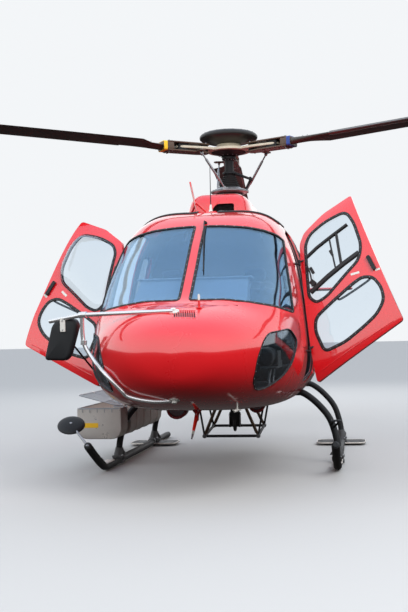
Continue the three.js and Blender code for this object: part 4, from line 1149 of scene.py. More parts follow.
def buildNoseFittings():
    # a black block fills the nose just under the skin behind the vent slots: painted shade, so that the slots look
    # dark
    dark = shared(hull(cowlThick + 1.0), prism(offset(ventPanel, -8), "z", 1380, 1560))
    makePiece("vent_painted_shade", dark, "rubber")
    makePiece("vent_rim", bead(roofPath(rounded(ventPanel, 14), 1, 12.0), 5.0, 1.6), "redPaint")
    corners = roofPath(offset(ventPanel, 6), 1, 44.0)
    makePiece("vent_screws", heads([corners], "alloy", spots=True, radius=3.6, height=1.5), "alloy")
    # wiper: a motor boss on the roof, an arm and a blade over the port screen
    pivot = onTop(*noseSetup["wiperPivot"], 4)
    boss = spun([(0, -20), (16, -20), (16, 8), (12, 14), (6, 17), (0, 18)], pivot, (0, -0.35, 1), 28)
    knee, foot = fromAhead(53, 2160, 30), fromAhead(84, 1985, 26)
    arm = tube([pivot + Vector((0, 0, 12)), pivot + Vector((0, -60, 12)), knee, foot], [6.0, 5.5, 5.0, 4.0], 12)
    places = [fromAhead(50 + 60 * t, 2215 - 400 * t, 13) for t in [i / 14 for i in range(15)]]
    blade = bead([(p, bodyNormal(p)) for p in places], 7.0, 5.0, False, 8.0)
    carrier = tube([p + bodyNormal(p) * (8 + 10 * math.sin(math.pi * i / 14)) for i, p in enumerate(places)], 3.2, 8)
    makePiece("wiper_arm", joinMeshes(boss, arm, carrier), "black")
    makePiece("wiper_blade", blade, "rubber")
    # air temperature probe
    base = onTop(152, -3085)
    stem = spun([(0, -8), (26, -6), (26, 3), (10, 6), (8, 44), (8, 62)], base, (0, 0, 1), 24)
    makePiece("probe_stem", stem, "redPaint")
    # the white top is a painted highlight on the red probe
    makePiece("probe_tip_painted_highlight", spun([(0, 60), (9, 60), (9, 96), (5, 106), (0, 108)], base, (0, 0, 1), 24), "white")


# Lamps under the belly as (x, z, radius). Each is a housing with a ring, a dish, a bulb and a lens
lampSetup = {"left": (440.0, 676.0, 76.0), "right": (-288.0, 645.0, 96.0)}
lampY = -1640


def buildLamps():
    for name, (x, z, r) in lampSetup.items():
        place, axis = Vector((x, lampY, z)), (0, -1, 0)
        shell = [(0, 0), (r * 0.7, 4), (r - 4, 30), (r - 2, 156), (r, 160), (r, 168), (r - 4, 171), (r - 22, 171),
                 (r - 23, 120), (r - 26, 116), (0, 116)]
        makePiece("lamp_housing_" + name, spun(shell, place, axis, 56), "lampRing")
        dish = [(0, 118), (16, 118), (r * 0.5, 130), (r - 30, 150), (r - 24, 158), (r - 24, 155), (r - 33, 147),
                (r * 0.5, 126), (18, 117), (0, 117)]
        makePiece("lamp_dish_" + name, spun(dish, place, axis, 56), "reflector")
        bulb = [(0, 119), (9, 119), (11, 134), (10, 144), (5, 149), (0, 150)]
        makePiece("lamp_bulb_" + name, spun(bulb, place, axis, 24), "white")
        lens = [(0, 164), (r * 0.5, 162), (r - 24, 158), (r - 24, 161), (r * 0.5, 165.5), (0, 167.5)]
        makePiece("lamp_lens_" + name, spun(lens, place, axis, 56), "lens")
        ring = [(place + Vector((math.cos(a) * (r - 12), -171, math.sin(a) * (r - 12))), Vector((0, -1, 0)))
                for a in turns(8, 0.3)]
        makePiece("lamp_screws_" + name, heads([ring], "alloy", spots=True, radius=3.2, height=1.5), "alloy")


# Cutters, whip antenna and pitot tube
def buildMasts():
    outline = rounded([(-2548, 650), (-2530, 592), (-2470, 592), (-2446, 650), (-2466, 700), (-2530, 700)], 16)
    shapes = [plate(outline, "x", 7, 27, 3.0)]
    for x in (-46, 84):
        shapes.append(tube([(17, -2500, 642), (x, -2490, 728)], 9.0, 18))
        shapes.append(softBox(x - 22, x + 22, -2515, -2465, 706, 720, 10, 3))
    shapes.append(tube([(17, -2460, 660), (17, -2400, 728)], 8.0, 18))
    makePiece("lower_cutter_shoe", joinMeshes(*shapes), "redPaint")
    spike = [Vector((17, -2485, 655)), Vector((17, -2690, 525)), Vector((17, -2724, 503)), Vector((17, -2768, 475))]
    makePiece("lower_cutter_spike", tube(spike[:2], [19.0, 11.5], 20), "spikeRed")
    makePiece("lower_cutter_band", tube(spike[1:3], [11.4, 10.0], 20), "white")
    makePiece("lower_cutter_tip", tube(spike[2:], [9.9, 6.0], 20), "alloy")
    studs = [(Vector((x, y, z)), Vector((turn, 0, 0))) for x, turn in ((27, 1), (7, -1))
             for y, z in ((-2520, 620), (-2480, 620), (-2500, 665))]
    makePiece("lower_cutter_bolts", heads([studs], "alloy", spots=True, radius=5.0, height=3.0, sides=6), "alloy")
    # roof cutter: a flat blade with a steel edge and two braces with feet
    foot, tip, knot = Vector((-103, -1500, 2400)), Vector((-173, -1500, 2739)), Vector((-120, -1500, 2540))
    soft = [(-1, -0.6), (-0.6, -1), (0.6, -1), (1, -0.6), (1, 0.6), (0.6, 1), (-0.6, 1), (-1, 0.6)]
    blade = [[foot.lerp(tip, share) + Vector((x * 7.5, y * half, 0)) for x, y in soft]
             for share, half in ((0.0, 26), (0.5, 22), (0.9, 17), (1.0, 12))]
    feet = [onTop(-224, -1400), onTop(30, -1450), onTop(-106, -1500)]
    shapes = [skinOver(blade), tube([(-224, -1400, 2380), knot], 10.5, 20), tube([(30, -1450, 2400), knot], 10.5, 20)]
    shapes += [spun([(0, -14), (34, -12), (34, 5), (28, 8), (0, 9)], p, bodyNormal(p), 28) for p in feet]
    makePiece("roof_cutter", joinMeshes(*shapes), "redPaint", replaced=["wire_cutter_upper"])
    wedge = [(-3, -4), (3, -4), (0.6, 7), (-0.6, 7)]
    edge = skinOver([[foot.lerp(tip, share) + Vector((x, -half - y, 0)) for x, y in wedge]
                     for share, half in ((0.22, 23), (0.5, 21), (0.86, 16))])
    makePiece("roof_cutter_edge", edge, "steel")
    studs = [(p + Vector((x, y, 0)) * 24 + bodyNormal(p) * 6, bodyNormal(p)) for p in feet
             for x, y in ((1, 0), (-1, 0), (0, 1), (0, -1))]
    makePiece("roof_cutter_bolts", heads([studs], "alloy", spots=True, radius=4.0, height=3.0, sides=6), "alloy")
    place = onTop(-36, -1150)
    cone = [(0, -10), (60, -8), (58, 2), (36, 10), (24, 22), (14, 52), (10, 92), (7, 97), (0, 98)]
    makePiece("whip_base", spun(cone, place, (0, 0, 1), 40), "white")
    top = Vector((-36, -1150, 2944))
    whip = [place + Vector((0, 0, 90)), place.lerp(top, 0.5), top - Vector((0, 0, 8)), top]
    makePiece("whip_rod", tube(whip, [5.0, 4.0, 3.0, 1.5], 12), "black")
    lens = [(0, -1), (0.7, -0.6), (1, 0), (0.7, 0.6), (0, 1), (-0.7, 0.6), (-1, 0), (-0.7, -0.6)]
    strut = [[(405 + u * chord * 0.36, -2900 + v * chord, z) for u, v in lens]
             for z, chord in ((905, 36), (880, 30), (740, 24), (712, 22), (700, 16))]
    head = spun([(0, 0), (9, 6), (12, 30), (12, 150), (9, 185), (6.5, 198), (4.5, 200), (4.0, 190), (0, 188)],
                (405, -2862, 712), (0, -1, 0), 28)
    cross = tube([(370, -2915, 712), (440, -2915, 712)], 5.0, 14)
    makePiece("pitot_head", joinMeshes(skinOver(strut), head, cross), "white", replaced=["pitot_tube"])


buildShell()
buildDoors()
buildHinges()
buildSeals()
buildRivets()
buildNoseFittings()
buildLamps()
buildMasts()
print("seals, rivets, nose fittings, lamps and masts built")


# Places round a circle about the mast's axis, each with the way that its bolt faces
def ringAt(radius, z, count, way=(0, 0, 1)):
    return [(Vector((math.cos(a), math.sin(a), 0)) * radius + Vector((0, 0, z)), way) for a in turns(count)]


# Hexagon bolt heads at (place, way) pairs
def bolts(places, radius, height, finish="alloy"):
    return heads([[(Vector(p), Vector(n).normalized()) for p, n in places]], finish, spots=True, radius=radius,
                 height=height, sides=6)


# A symmetric blade section between its leading and trailing edges
def foilRing(leading, chord, thickness, place, count=16):
    def half(u):
        rise = 0.2969 * math.sqrt(u) - 0.126 * u - 0.3516 * u * u + 0.2843 * u ** 3 - 0.1015 * u ** 4
        return 5 * rise * thickness
    shares = [(1 - math.cos(math.pi * i / count)) / 2 for i in range(count + 1)]
    line = [(u, half(u)) for u in shares] + [(u, -half(u)) for u in shares[:0:-1]]
    return [place(leading + u * chord, v) for u, v in line]


# The rows of a table with easy steps between them
def between(table, step):
    out = []
    for a, b in zip(table, table[1:]):
        count = max(1, round((b[0] - a[0]) / step))
        for i in range(count):
            t = i / count
            soft = t * t * (3 - 2 * t) if b[0] - a[0] < 400 else t
            out.append([a[0] + (b[0] - a[0]) * t] + [p + (q - p) * soft for p, q in zip(a[1:], b[1:])])
    return out + [list(table[-1])]


# Main rotor. Everything here turns with the mast
rotorSetup = {"angles": (-55.0, 65.0, 185.0), "bands": ("yellow", "blue", "lampRing"), "bellows": 6, "tip": 5345}
bladeTable = [(800.3, 150, 70, 0.5), (960, 220, 50, 0.4), (1100, 350, 44, 0.28), (3000, 350, 40, 0.28),
              (5255, 350, 34, 0.28), (5345, 297.5, 12, 0.25)]


def aroundHub(mesh, degrees):
    return movedMesh(mesh, Matrix.Rotation(math.radians(degrees), 4, "Z"))


def threeTimes(mesh):
    return joinMeshes(*[aroundHub(mesh, angle + 180) for angle in rotorSetup["angles"]])


def bladeRise(r):
    return 3305 + (r - 800) * math.tan(math.radians(1.4)) - 34 * ((r - 800) / 4545) ** 2


def bladePart(start, end, grow=0.0, share=(0.0, 1.0)):
    rows = between(bladeTable, 110.0)
    inner = [row for row in rows if start + 5 < row[0] < end - 5]

    def at(r):
        for a, b in zip(rows, rows[1:]):
            if a[0] <= r <= b[0]:
                t = (r - a[0]) / (b[0] - a[0])
                return [p + (q - p) * t for p, q in zip(a, b)]
        return list(rows[-1])
    rings = []
    for r, chord, thickness, lead in [at(start)] + inner + [at(end)]:
        ring = foilRing(-chord * lead - grow, chord + 2 * grow, thickness + 2 * grow, lambda a, b: (a, b))
        if share != (0.0, 1.0):
            low, high = (-chord * lead - grow + s * (chord + 2 * grow) for s in share)
            ring = [(min(max(a, low), high), b) for a, b in ring]
        rings.append([(-a, r, bladeRise(r) + b) for a, b in ring])
    return skinOver(rings)


def linkRod(start, end, radius, eye):
    along = (end - start).normalized()
    side = along.cross(Vector((0, 0, 1))).normalized()
    shares = ((0, 0.6), (0.16, 0.6), (0.2, 1), (0.8, 1), (0.84, 0.6), (1, 0.6))
    parts = [tube([start.lerp(end, share) for share, _ in shares], [radius * thick for _, thick in shares], 18)]
    for place in (start, end):
        ring = [(eye * 0.5, -7), (eye * 0.9, -7), (eye, -4), (eye, 4), (eye * 0.9, 7), (eye * 0.5, 7)]
        parts.append(spun(ring + ring[:1], place, side, 24))
        parts.append(rod(place - side * 13, place + side * 13, eye * 0.42, 6))
    return joinMeshes(*parts)


def buildRotor():
    body = "main_rotor"
    mast = upright([(0, 2700), (48, 2700), (48, 3196), (64, 3206), (76, 3212), (76, 3238), (0, 3239)])
    makePiece("mast_tube", mast, "black", body, ["rotor_mast"])
    folds = rotorSetup["bellows"]
    wave = [(50, 2906)]
    for i in range(folds * 4 + 1):
        t = i / (folds * 4)
        wave.append((116 - 54 * t + 6 * math.cos(i * math.pi / 2), 2908 + 132 * t))
    makePiece("mast_boot", upright(wave + [(50, 3044)], 56), "rubber", body)
    bowl = [(50, 2836), (150, 2837), (182, 2842), (204, 2852), (205, 2866), (196, 2872), (176, 2874), (168, 2884),
            (150, 2888), (132, 2894), (122, 2903), (60, 2904), (50, 2904), (50, 2836)]
    makePiece("swashplate_bowl", upright(bowl, 72), "alloy", body, ["swashplate"])
    studs = joinMeshes(bolts(ringAt(190, 2872, 24), 6, 5), bolts(ringAt(62, 3206, 12, (0, 0, -1)), 6, 6))
    makePiece("swashplate_bolts", studs, "alloy", body)
    collar = [(49, 3050), (68, 3050), (72, 3054), (72, 3074), (68, 3078), (49, 3078), (49, 3050)]
    shoulder, elbow, foot = Vector((60, 0, 3062)), Vector((235, -30, 2985)), Vector((168, 0, 2862))
    arms = [tube([shoulder, shoulder.lerp(elbow, 0.5), elbow], [19.0, 14.0, 13.0], 16),
            tube([elbow, elbow.lerp(foot, 0.5), foot], [13.0, 12.0, 15.0], 16),
            spun([(8, -46), (18, -46), (20, -43), (20, 29), (18, 32), (8, 32), (8, -46)], elbow, (0, 1, 0), 28),
            rod(elbow + Vector((0, -50, 0)), elbow + Vector((0, 36, 0)), 9, 6)]
    arms.append(upright(collar))
    makePiece("scissors", joinMeshes(*arms), "black", body)
    link = linkRod(Vector((-140, 130, 2878)), Vector((-130, 390, 3240)), 13.0, 19.0)
    lug = softBox(-158, -122, 96, 150, 2852, 2886, 10, 3)
    makePiece("pitch_links", threeTimes(joinMeshes(link, lug)), "alloy", body)

    star = rounded([(-62, 0), (-95, 330), (-62, 640), (62, 640), (95, 330), (62, 0)], 60)
    hubTop = [(0, 3328), (128, 3328), (146, 3324), (160, 3318), (232, 3317), (232, 3293), (190, 3289), (76, 3254),
              (0, 3254)]
    disc = fused(upright(hubTop, 72), *[
        aroundHub(plate(star, "z", 3292.2, 3317.8, 4.0), angle + 180) for angle in rotorSetup["angles"]])
    makePiece("rotor_star", disc, "cream", body, ["rotor_head"])
    cone = [(0, 3240), (60, 3240), (78, 3250), (150, 3272), (190, 3287), (190, 3289), (0, 3290)]
    spacer = [(0, 3328), (118, 3328), (124, 3332), (126, 3350), (130, 3366), (130, 3371), (0, 3371.8)]
    makePiece("rotor_cone", upright(cone, 64), "black", body)
    makePiece("rotor_spacer", upright(spacer, 64), "cream", body)
    cheek = rounded([(-55, 250), (-82, 360), (-88, 756), (88, 756), (82, 360), (55, 250)], 26)
    plates = [plate(cheek, "z", 3342, 3356, 3.0), plate(cheek, "z", 3254, 3268, 3.0)]
    makePiece("sleeve_plates", threeTimes(joinMeshes(*plates)), "sleeve", body)
    bearing = [(0, -46), (38, -46), (44, -40), (46, -28), (42, -14), (46, 0), (42, 14), (46, 28), (44, 38), (0, 38)]
    bearing = spun(bearing, (0, 303, 3305), (0, 0, 1), 36)
    layers = []
    for i in range(7):
        low, back = 3268 + 10.5 * i, 3 * (i % 2)
        layers.append(softBox(back - 66, 66 - back, 505 + back, 630 - back, low, 3268 + 10.5 * (i + 1), 12, 1.0))
    makePiece("elastomer_blocks", threeTimes(joinMeshes(bearing, *layers)), "rubber", body)
    cuff = softBox(-84, 84, 682, 800, 3256, 3354, 24, 6, "y")
    horn = rounded([(-190, 372), (-180, 430), (-70, 430), (-70, 360), (-165, 360)], 16)
    cuff = joinMeshes(cuff, plate(horn, "z", 3254.5, 3267.5, 3.0))
    makePiece("blade_cuffs", threeTimes(cuff), "sleeve", body)
    spread = [(side * x, y) for x, y in ((52, 300), (45, 540), (45, 600), (62, 700), (62, 736)) for side in (-1, 1)]
    studs = [((x, y, z), (0, 0, turn)) for z, turn in ((3356, 1), (3254, -1)) for x, y in spread + [(0, 700)]]
    studs += [((-160, 398, 3268), (0, 0, 1)), ((-95, 398, 3268), (0, 0, 1))]
    pins = [rod((x, 722, 3238), (x, 722, 3372), 12, 24) for x in (-30, 30)]
    makePiece("sleeve_bolts", threeTimes(joinMeshes(bolts(studs, 9, 7), *pins)), "alloy", body)
    ring = ringAt(205, 3317.5, 18) + ringAt(104, 3254, 12, (0, 0, -1))
    makePiece("star_bolts", bolts(ring, 7, 6), "alloy", body)
    dome = [(0, 3373), (118, 3373), (150, 3378), (230, 3397), (296, 3419), (312, 3433), (316, 3448), (313, 3462),
            (300, 3476), (272, 3491), (230, 3501), (160, 3507), (80, 3509.5), (0, 3510)]
    makePiece("rotor_dome", upright(dome, 96), "capPaint", body, ["rotor_cap"])
    screws = [(p, (0.35 * math.cos(a), 0.35 * math.sin(a), 1)) for (p, _), a in zip(ringAt(286, 3485, 20), turns(20))]
    makePiece("dome_screws", bolts(screws, 6, 3, "black"), "black", body)
    for i, (angle, band) in enumerate(zip(rotorSetup["angles"], rotorSetup["bands"])):
        turned = angle + 180
        number = str(i + 1)
        makePiece("blade_skin_" + number, aroundHub(bladePart(800.3, rotorSetup["tip"]), turned), "blade", body,
                  ["main_blade_" + number])
        edge = bladePart(1250, 5250, 0.7, (0.0, 0.09))
        makePiece("blade_edge_" + number, aroundHub(edge, turned), "edgeMetal", body)
        wrap = softBox(-85.5, 85.5, 757, 799, 3254.5, 3355.5, 24, 4, "y")
        makePiece("blade_band_" + number, aroundHub(wrap, turned), band, body)
        tipScrews = [((x, r, bladeRise(r) + 17), (0, 0, 1)) for x in (40, 0, -60, -120) for r in (5225, 5245)]
        rootBolts = [((x, r, bladeRise(r) + 30), (0, 0, 1)) for x in (-40, 40) for r in (930, 985)]
        fasteners = joinMeshes(bolts(tipScrews, 4, 3), bolts(rootBolts, 7, 5))
        makePiece("blade_fasteners_" + number, aroundHub(fasteners, turned), "alloy", body)
    print("rotor built")


buildRotor()


# Landing gear: skids, cross tubes, clamps, snow pads, steps
gearSetup = {"track": 1130.0, "skid": 38.0, "leg": 33.0, "front": -673.0, "rear": 1052.0}
skidLine = [(1900, 0), (600, 0), (-900, 0), (-1180, 2), (-1320, 37), (-1560, 147), (-1800, 272)]
legLine = [(400, 705), (700, 715), (800, 700), (934, 594), (1050, 443), (1110, 250), (1130, 90)]


def skidPoints(side):
    r = gearSetup["skid"]
    points = curved([(side * gearSetup["track"], y, r + z) for y, z in skidLine], 10)
    low = min(p.z for p in points)
    return [p - Vector((0, 0, low - r)) for p in points]


def buildGear():
    track, r = gearSetup["track"], gearSetup["skid"]
    pad = rounded([(840, 880), (1400, 880), (1400, 1240), (840, 1240)], 90)
    pads = [plate(pad, "z", 22, 34, 2.0)]
    for i in range(5):
        x = 890 + i * 115
        if abs(x - track) > 70:
            pads.append(softBox(x - 9, x + 9, 920, 1200, 34, 38, 6, 1.0))
    edge = [(Vector((x, y, 28)), Vector((0, 0, 1))) for x, y in evenly(pad, 16.0)]
    rim = bead(edge, 9.0, 9.5, sink=5.0)
    for name, side in bothNames:
        line = skidPoints(side)
        tipWay = (line[-1] - line[-2]).normalized()
        radii = [r * 0.55, r * 0.93] + [r] * (len(line) - 2) + [r * 0.93, r * 0.55]
        rounding = [line[0] + Vector((0, 8, 0)), line[0] - Vector((0, 4, 0))]
        tubeLine = rounding + line[1:-1] + [line[-1] - tipWay * 2, line[-1] + tipWay * 10]
        makePiece("skid_tube_" + name, tube(tubeLine, radii, 28), "black", replaced=["skid_" + name])
        flat = [joinMeshes(*pads), rim]
        if side < 0:
            flat = [mirrored(mesh) for mesh in flat]
        makePiece("snow_pad_" + name, flat[0], "black")
        makePiece("snow_pad_rim_" + name, flat[1], "steel")
        wear = [(p - Vector((0, 0, r - 1.5)), Vector((0, 0, -1))) for p in line if -880 < p.y < 1880]
        makePiece("wear_plate_" + name, bead(wear, 34.0, 1.4, False, 4.0), "steel")
        middle = side * track
        saddles = [softBox(middle - 44, middle + 44, y, y + 44, 4, 84, 20, 3, "y") for y in (900, 1176)]
        studs = [((middle + x, y, 84), (0, 0, 1)) for x in (-34, 34) for y in (922, 1198)]
        makePiece("pad_clamps_" + name, joinMeshes(*saddles), "casting")
        makePiece("pad_clamp_bolts_" + name, bolts(studs, 7, 6), "alloy")
    for name in ("front", "rear"):
        y = gearSetup[name]
        half = [(x, y, z) for x, z in legLine]
        line = curved([(-x, a, b) for x, a, b in half[::-1]] + [(0, y, 705)] + half, 10)
        makePiece("cross_tube_skin_" + name, tube(line, gearSetup["leg"], 28), "black",
                  replaced=["cross_tube_" + name])
        shapes, joints = [], []
        for side in (1, -1):
            x = side * track
            socket = spun([(0, 0), (46, 0), (50, 5), (50, 24), (44, 60), (41, 88), (37, 92), (0, 92)],
                          (x, y, 78), Vector((-side * 0.12, 0, 1)), 36)
            shoe = rounded([(x - 56, y - 73), (x + 56, y - 73), (x + 56, y + 73), (x - 56, y + 73)], 20)
            shapes += [socket, plate(shoe, "z", 66, 90, 4.0), plate(shoe, "z", 14, 34, 4.0)]
            shapes += [softBox(x - 48, x + 48, y + a - 12, y + a + 12, 16, 86, 14, 3, "y") for a in (-52, 52)]
            joints += [((x + a, y + b, 90), (0, 0, 1)) for a in (-45, 45) for b in (-58, -20, 20, 58)]
            gusset = [(x - side * a, z) for a, z in ((20, 84), (92, 84), (40, 168), (30, 168))]
            shapes.append(prism(gusset, "y", y - 5, y + 5))
            if name == "rear":
                shapes.append(softBox(side * 350 - 44, side * 350 + 44, y - 58, y + 58, 672, 1000, 24, 5))
                joints += [((side * 350 + a, y + b, 680), (0, 0, -1)) for a in (-30, 30) for b in (-44, 44)]
        makePiece("gear_castings_" + name, joinMeshes(*shapes), "casting")
        makePiece("gear_bolts_" + name, bolts(joints, 8, 7), "alloy")
    # steps: a ribbed plate and a toe plate on each skid, an arm step on the port leg
    tread = [softBox(-1176, -1084, -1290, -1010, 78, 83, 10, 1.5)]
    tread += [softBox(-1172, -1088, y - 4, y + 4, 83, 86.5, 3, 1.0) for y in range(-1278, -1010, 20)]
    toe = [softBox(-46, 46, -70, 70, 0, 5, 12, 1.5)]
    toe += [softBox(-42, 42, y - 4, y + 4, 5, 8, 3, 1.0) for y in range(-60, 61, 20)]
    toeTurn = Matrix.Translation((-1130, -1446, 139)) @ Matrix.Rotation(math.radians(-24.5), 4, "X")
    toe = joinMeshes(*[movedMesh(mesh, toeTurn) for mesh in toe])
    makePiece("tread_plate_right", joinMeshes(*tread), "steel")
    makePiece("toe_plate_right", toe, "alloy")
    makePiece("toe_plate_left", mirrored(toe), "alloy")
    makePiece("tread_plate_left", mirrored(joinMeshes(*tread)), "steel")
    step = [softBox(1062, 1166, -960, -860, 440, 450, 14, 2.0)]
    step += [softBox(1068, 1160, y - 3, y + 3, 450, 454, 2, 0.8) for y in range(-948, -866, 12)]
    step += [tube(curved(line), 11.0, 16) for line in (
        [(1085, -870, 440), (1080, -780, 420), (1070, -690, 400)],
        [(1145, -870, 440), (1120, -770, 400), (1082, -690, 360)])]
    makePiece("step_left", joinMeshes(*step), "black")
    print("landing gear built")


# Round landing mirror on the starboard skid, square mirror and its tubes on the nose
mirrorSetup = {"place": (-1345.0, -1600.0, 492.0), "axis": (0.1, -0.56, 0.82), "radius": 130.0, "tube": 17.0}
mirrorLine = [(-1128, 1128), (-950, 1122), (-912, 1165), (-842, 1405), (-870, 1456), (-1020, 1448), (-1062, 1400)]


def buildMirrors():
    axis, place, r = Vector(mirrorSetup["axis"]).normalized(), Vector(mirrorSetup["place"]), mirrorSetup["radius"]
    shell = [(0, 17), (40, 17), (86, 12), (r - 12, 2), (r - 2, -6), (r, -10), (r, -15), (r - 3, -18), (r - 7, -18),
             (r - 7, -12), (0, -12)]
    makePiece("round_mirror_shell", spun(shell, place, axis, 64), "black")
    disc = [(0, -17), (r * 0.6, -16), (r - 7.5, -14), (r - 7.5, -12.5), (0, -12.5)]
    makePiece("round_mirror_glass", spun(disc, place, axis, 64), "reflector")
    arm = tube([(-1130, -1790, 306), (-1138, -1783, 314), (-1318, -1624, 470), place], [9.0, 11.0, 11.0, 8.0], 18)
    joint = spun([(0, -22), (22, -20), (24, -14), (24, 14), (20, 20), (0, 22)], (-1130, -1788, 306), (0, 1, 0.5), 28)
    boss = spun([(0, 6), (12, 6), (12, 19), (8, 22), (0, 22)], place, axis, 24)
    makePiece("round_mirror_arm", joinMeshes(arm, joint, boss), "alloy")
    r = mirrorSetup["tube"]
    root, tee, end = Vector((-28, -3190, 1487)), Vector((-795, -3020, 1480)), Vector((-1084, -2950, 1437))
    bar = tube([root, root.lerp(tee, 0.5), tee, tee.lerp(end, 0.12), end.lerp(tee, 0.08), end], r, 24)
    strut = tube(curved([tee, (-785, -3015, 1260), (-690, -3050, 1115), (-550, -3215, 1006), (-440, -3215, 893),
                         (-380, -3200, 840), (-200, -3215, 806), (-20, -3185, 808)], 10), r, 24)
    along = (end - tee).normalized()
    rings = [spun([(17, -20), (25, -18), (25, 18), (17, 20), (17, -20)], p, a, 28) for p, a in (
        (tee + along * 4, along), (root.lerp(tee, 0.97), tee - root), (Vector((-785, -3015, 1262)), (0.1, 0, 1)))]
    makePiece("mirror_tubes", joinMeshes(bar, strut, *rings), "polished", replaced=["mirror_frame"])
    foot = onTop(-34, -3160)
    normal = bodyNormal(foot)
    base = spun([(0, -6), (44, -6), (44, 3), (38, 6), (22, 8), (20, 22), (0, 24)], foot, normal, 36)
    low = fromAhead(-30, 812)
    lowFoot = spun([(0, -6), (42, -6), (42, 3), (36, 6), (20, 8), (18, 26), (0, 28)], low, bodyNormal(low), 36)
    side = foot + normal * 6
    screws = bolts([(side + Vector((x, y, 0)), normal) for x, y in ((30, 0), (-30, 0), (0, 30), (0, -30))], 5, 4)
    makePiece("mirror_feet", joinMeshes(base, lowFoot), "white")
    makePiece("mirror_foot_screws", screws, "alloy")
    face = rounded(mirrorLine, 36)
    case = skinOver([[(u, w, v) for u, v in offset(face, -inset)] for w, inset in (
        (-2985, 22), (-2982, 12), (-2974, 4), (-2960, 0), (-2904, 0), (-2894, 4), (-2894, 12), (-2904, 14))])
    makePiece("mirror_case", case, "black", replaced=["mirror"])
    makePiece("mirror_glass", prism(offset(face, -13), "y", -2903, -2900), "reflector")
    makePiece("mirror_clamp", softBox(-985, -943, -2996, -2960, 1350, 1462, 10, 3, "y"), "white")
    makePiece("mirror_clamp_bolts", bolts([((-964, -2996, z), (0, -1, 0)) for z in (1366, 1440)], 7, 5), "alloy")
    back = [(-924, -2800, 1228), (-880, -2500, 1060), (-834, -2200, 905), (-700, -1900, 790), (-560, -1700, 720)]
    makePiece("mirror_back_strut", tube(curved(back), 8.0, 12), "black")
    print("mirrors built")


# Hook frame and hook under the belly. The frame hangs from the belly at its struts' upper ends
hookSetup = {"front": (285, -300, 240), "rear": (285, 350, 290), "ring": 15.0, "stay": 11.0}


def buildHook():
    front, rear = Vector(hookSetup["front"]), Vector(hookSetup["rear"])

    def flip(p):
        return Vector((-p.x, p.y, p.z))
    corners = [front, rear, flip(rear), flip(front)]
    ring = []
    for i, here in enumerate(corners):
        a, b = corners[i - 1], corners[(i + 1) % 4]
        ring += [here.lerp(a, 0.09), here.lerp(a, 0.02).lerp(here.lerp(b, 0.02), 0.5), here.lerp(b, 0.09)]
    ring += [ring[0], ring[1]]
    stays = [(front, Vector((380, -240, 760))), (rear, Vector((380, 290, 760)))]
    stays += [(flip(a), flip(b)) for a, b in stays]
    bars = [tube(ring, hookSetup["ring"], 20)] + [tube([a, b], hookSetup["stay"], 18) for a, b in stays]
    makePiece("hook_bars", joinMeshes(*bars), "black", replaced=["hook_frame"])
    pairs = [(front, Vector((75, -300, 740))), (rear, Vector((75, 350, 740)))]
    pairs += [(flip(a), flip(b)) for a, b in pairs]
    struts = [tube([a, a.lerp(b, 0.06), a.lerp(b, 0.08), a.lerp(b, 0.92), b], [11.0, 11.0, 17.0, 17.0, 12.0], 20)
              for a, b in pairs]
    makePiece("hook_struts", joinMeshes(*struts), "bronze")
    balls = [spun([(0, -24), (16, -20), (24, -8), (24, 8), (16, 20), (0, 24)], p, (0, 0, 1), 24) for p in corners]
    makePiece("hook_joints", joinMeshes(*balls), "casting")
    cheek = rounded([(-30, 305), (90, 300), (84, 400), (60, 470), (-5, 470), (-28, 400)], 26)
    cheeks = [plate(cheek, "x", x, x + 12, 2.0) for x in (-58, 46)]
    middle = softBox(-46, 46, -14, 78, 322, 498, 20, 5)
    stem = [(0, 456), (30, 456), (30, 470), (20, 480), (16, 492), (16, 750), (0, 750)]
    shapes = joinMeshes(*cheeks, middle, spun(stem, (0, 30, 0), (0, 0, 1), 28))
    makePiece("hook_body", shapes, "black", replaced=["cargo_hook"])
    beam = [(0, -22, 380), (0, -36, 330), (0, -14, 286), (0, 36, 272), (0, 80, 296), (0, 88, 360)]
    makePiece("hook_beam", tube(curved(beam), 15.0, 18), "black")
    pins = [((x, y, z), (turn, 0, 0)) for x, turn in ((58, 1), (-58, -1))
            for y, z in ((0, 330), (62, 330), (4, 440), (56, 440))]
    makePiece("hook_bolts", bolts(pins, 8, 5), "alloy")
    wire = tube(curved([(28, 30, 458), (70, 60, 520), (110, 90, 600), (96, 100, 690), (80, 100, 720)], 8), 5.0, 10)
    makePiece("hook_cable", wire, "rubber")
    print("hook built")


buildGear()
buildMirrors()
buildHook()


# The rows of a table again at even steps, along smooth lines through its columns
def smoothRows(table, step):
    slopes = [columnSlopes(column, table) for column in range(1, len(table[0]))]
    out = []
    for i, (a, b) in enumerate(zip(table, table[1:])):
        count = max(1, round((b[0] - a[0]) / step))
        for k in range(count):
            out.append([a[0] + (b[0] - a[0]) * (k / count)] + smoothRow(table, slopes, i, k / count))
    return out + [list(table[-1])]


# Cowlings: station, top, half width at the top, half width at the foot
cowlSetup = {"bottom": 1950.0, "corner": 130.0, "latches": (-560, -150, 620, 1150), "intake": (-62, 166, 2482, 2602)}
cowlAhead = [(-960, 2550, 208, 322), (-952, 2604, 226, 346), (-932, 2652, 242, 370), (-900, 2690, 254, 389),
             (-850, 2711, 265, 405), (-780, 2721, 272, 415), (-700, 2725, 275, 420), (360, 2725, 275, 440)]
cowlBehind = [(360.3, 2725, 275, 440), (700, 2716, 269, 416), (1060, 2700, 255, 380), (1400, 2662, 236, 326),
              (1640, 2610, 212, 264), (1725, 2572, 190, 232), (1760, 2536, 166, 210)]


def cowlLine(top, half, base):
    bottom = cowlSetup["bottom"]
    waist = bottom + 0.35 * (top - bottom)
    line = [(-base, bottom), (base, bottom), (base * 0.97, waist), (half, top), (-half, top), (-base * 0.97, waist)]
    return rounded(line, cowlSetup["corner"], 12)


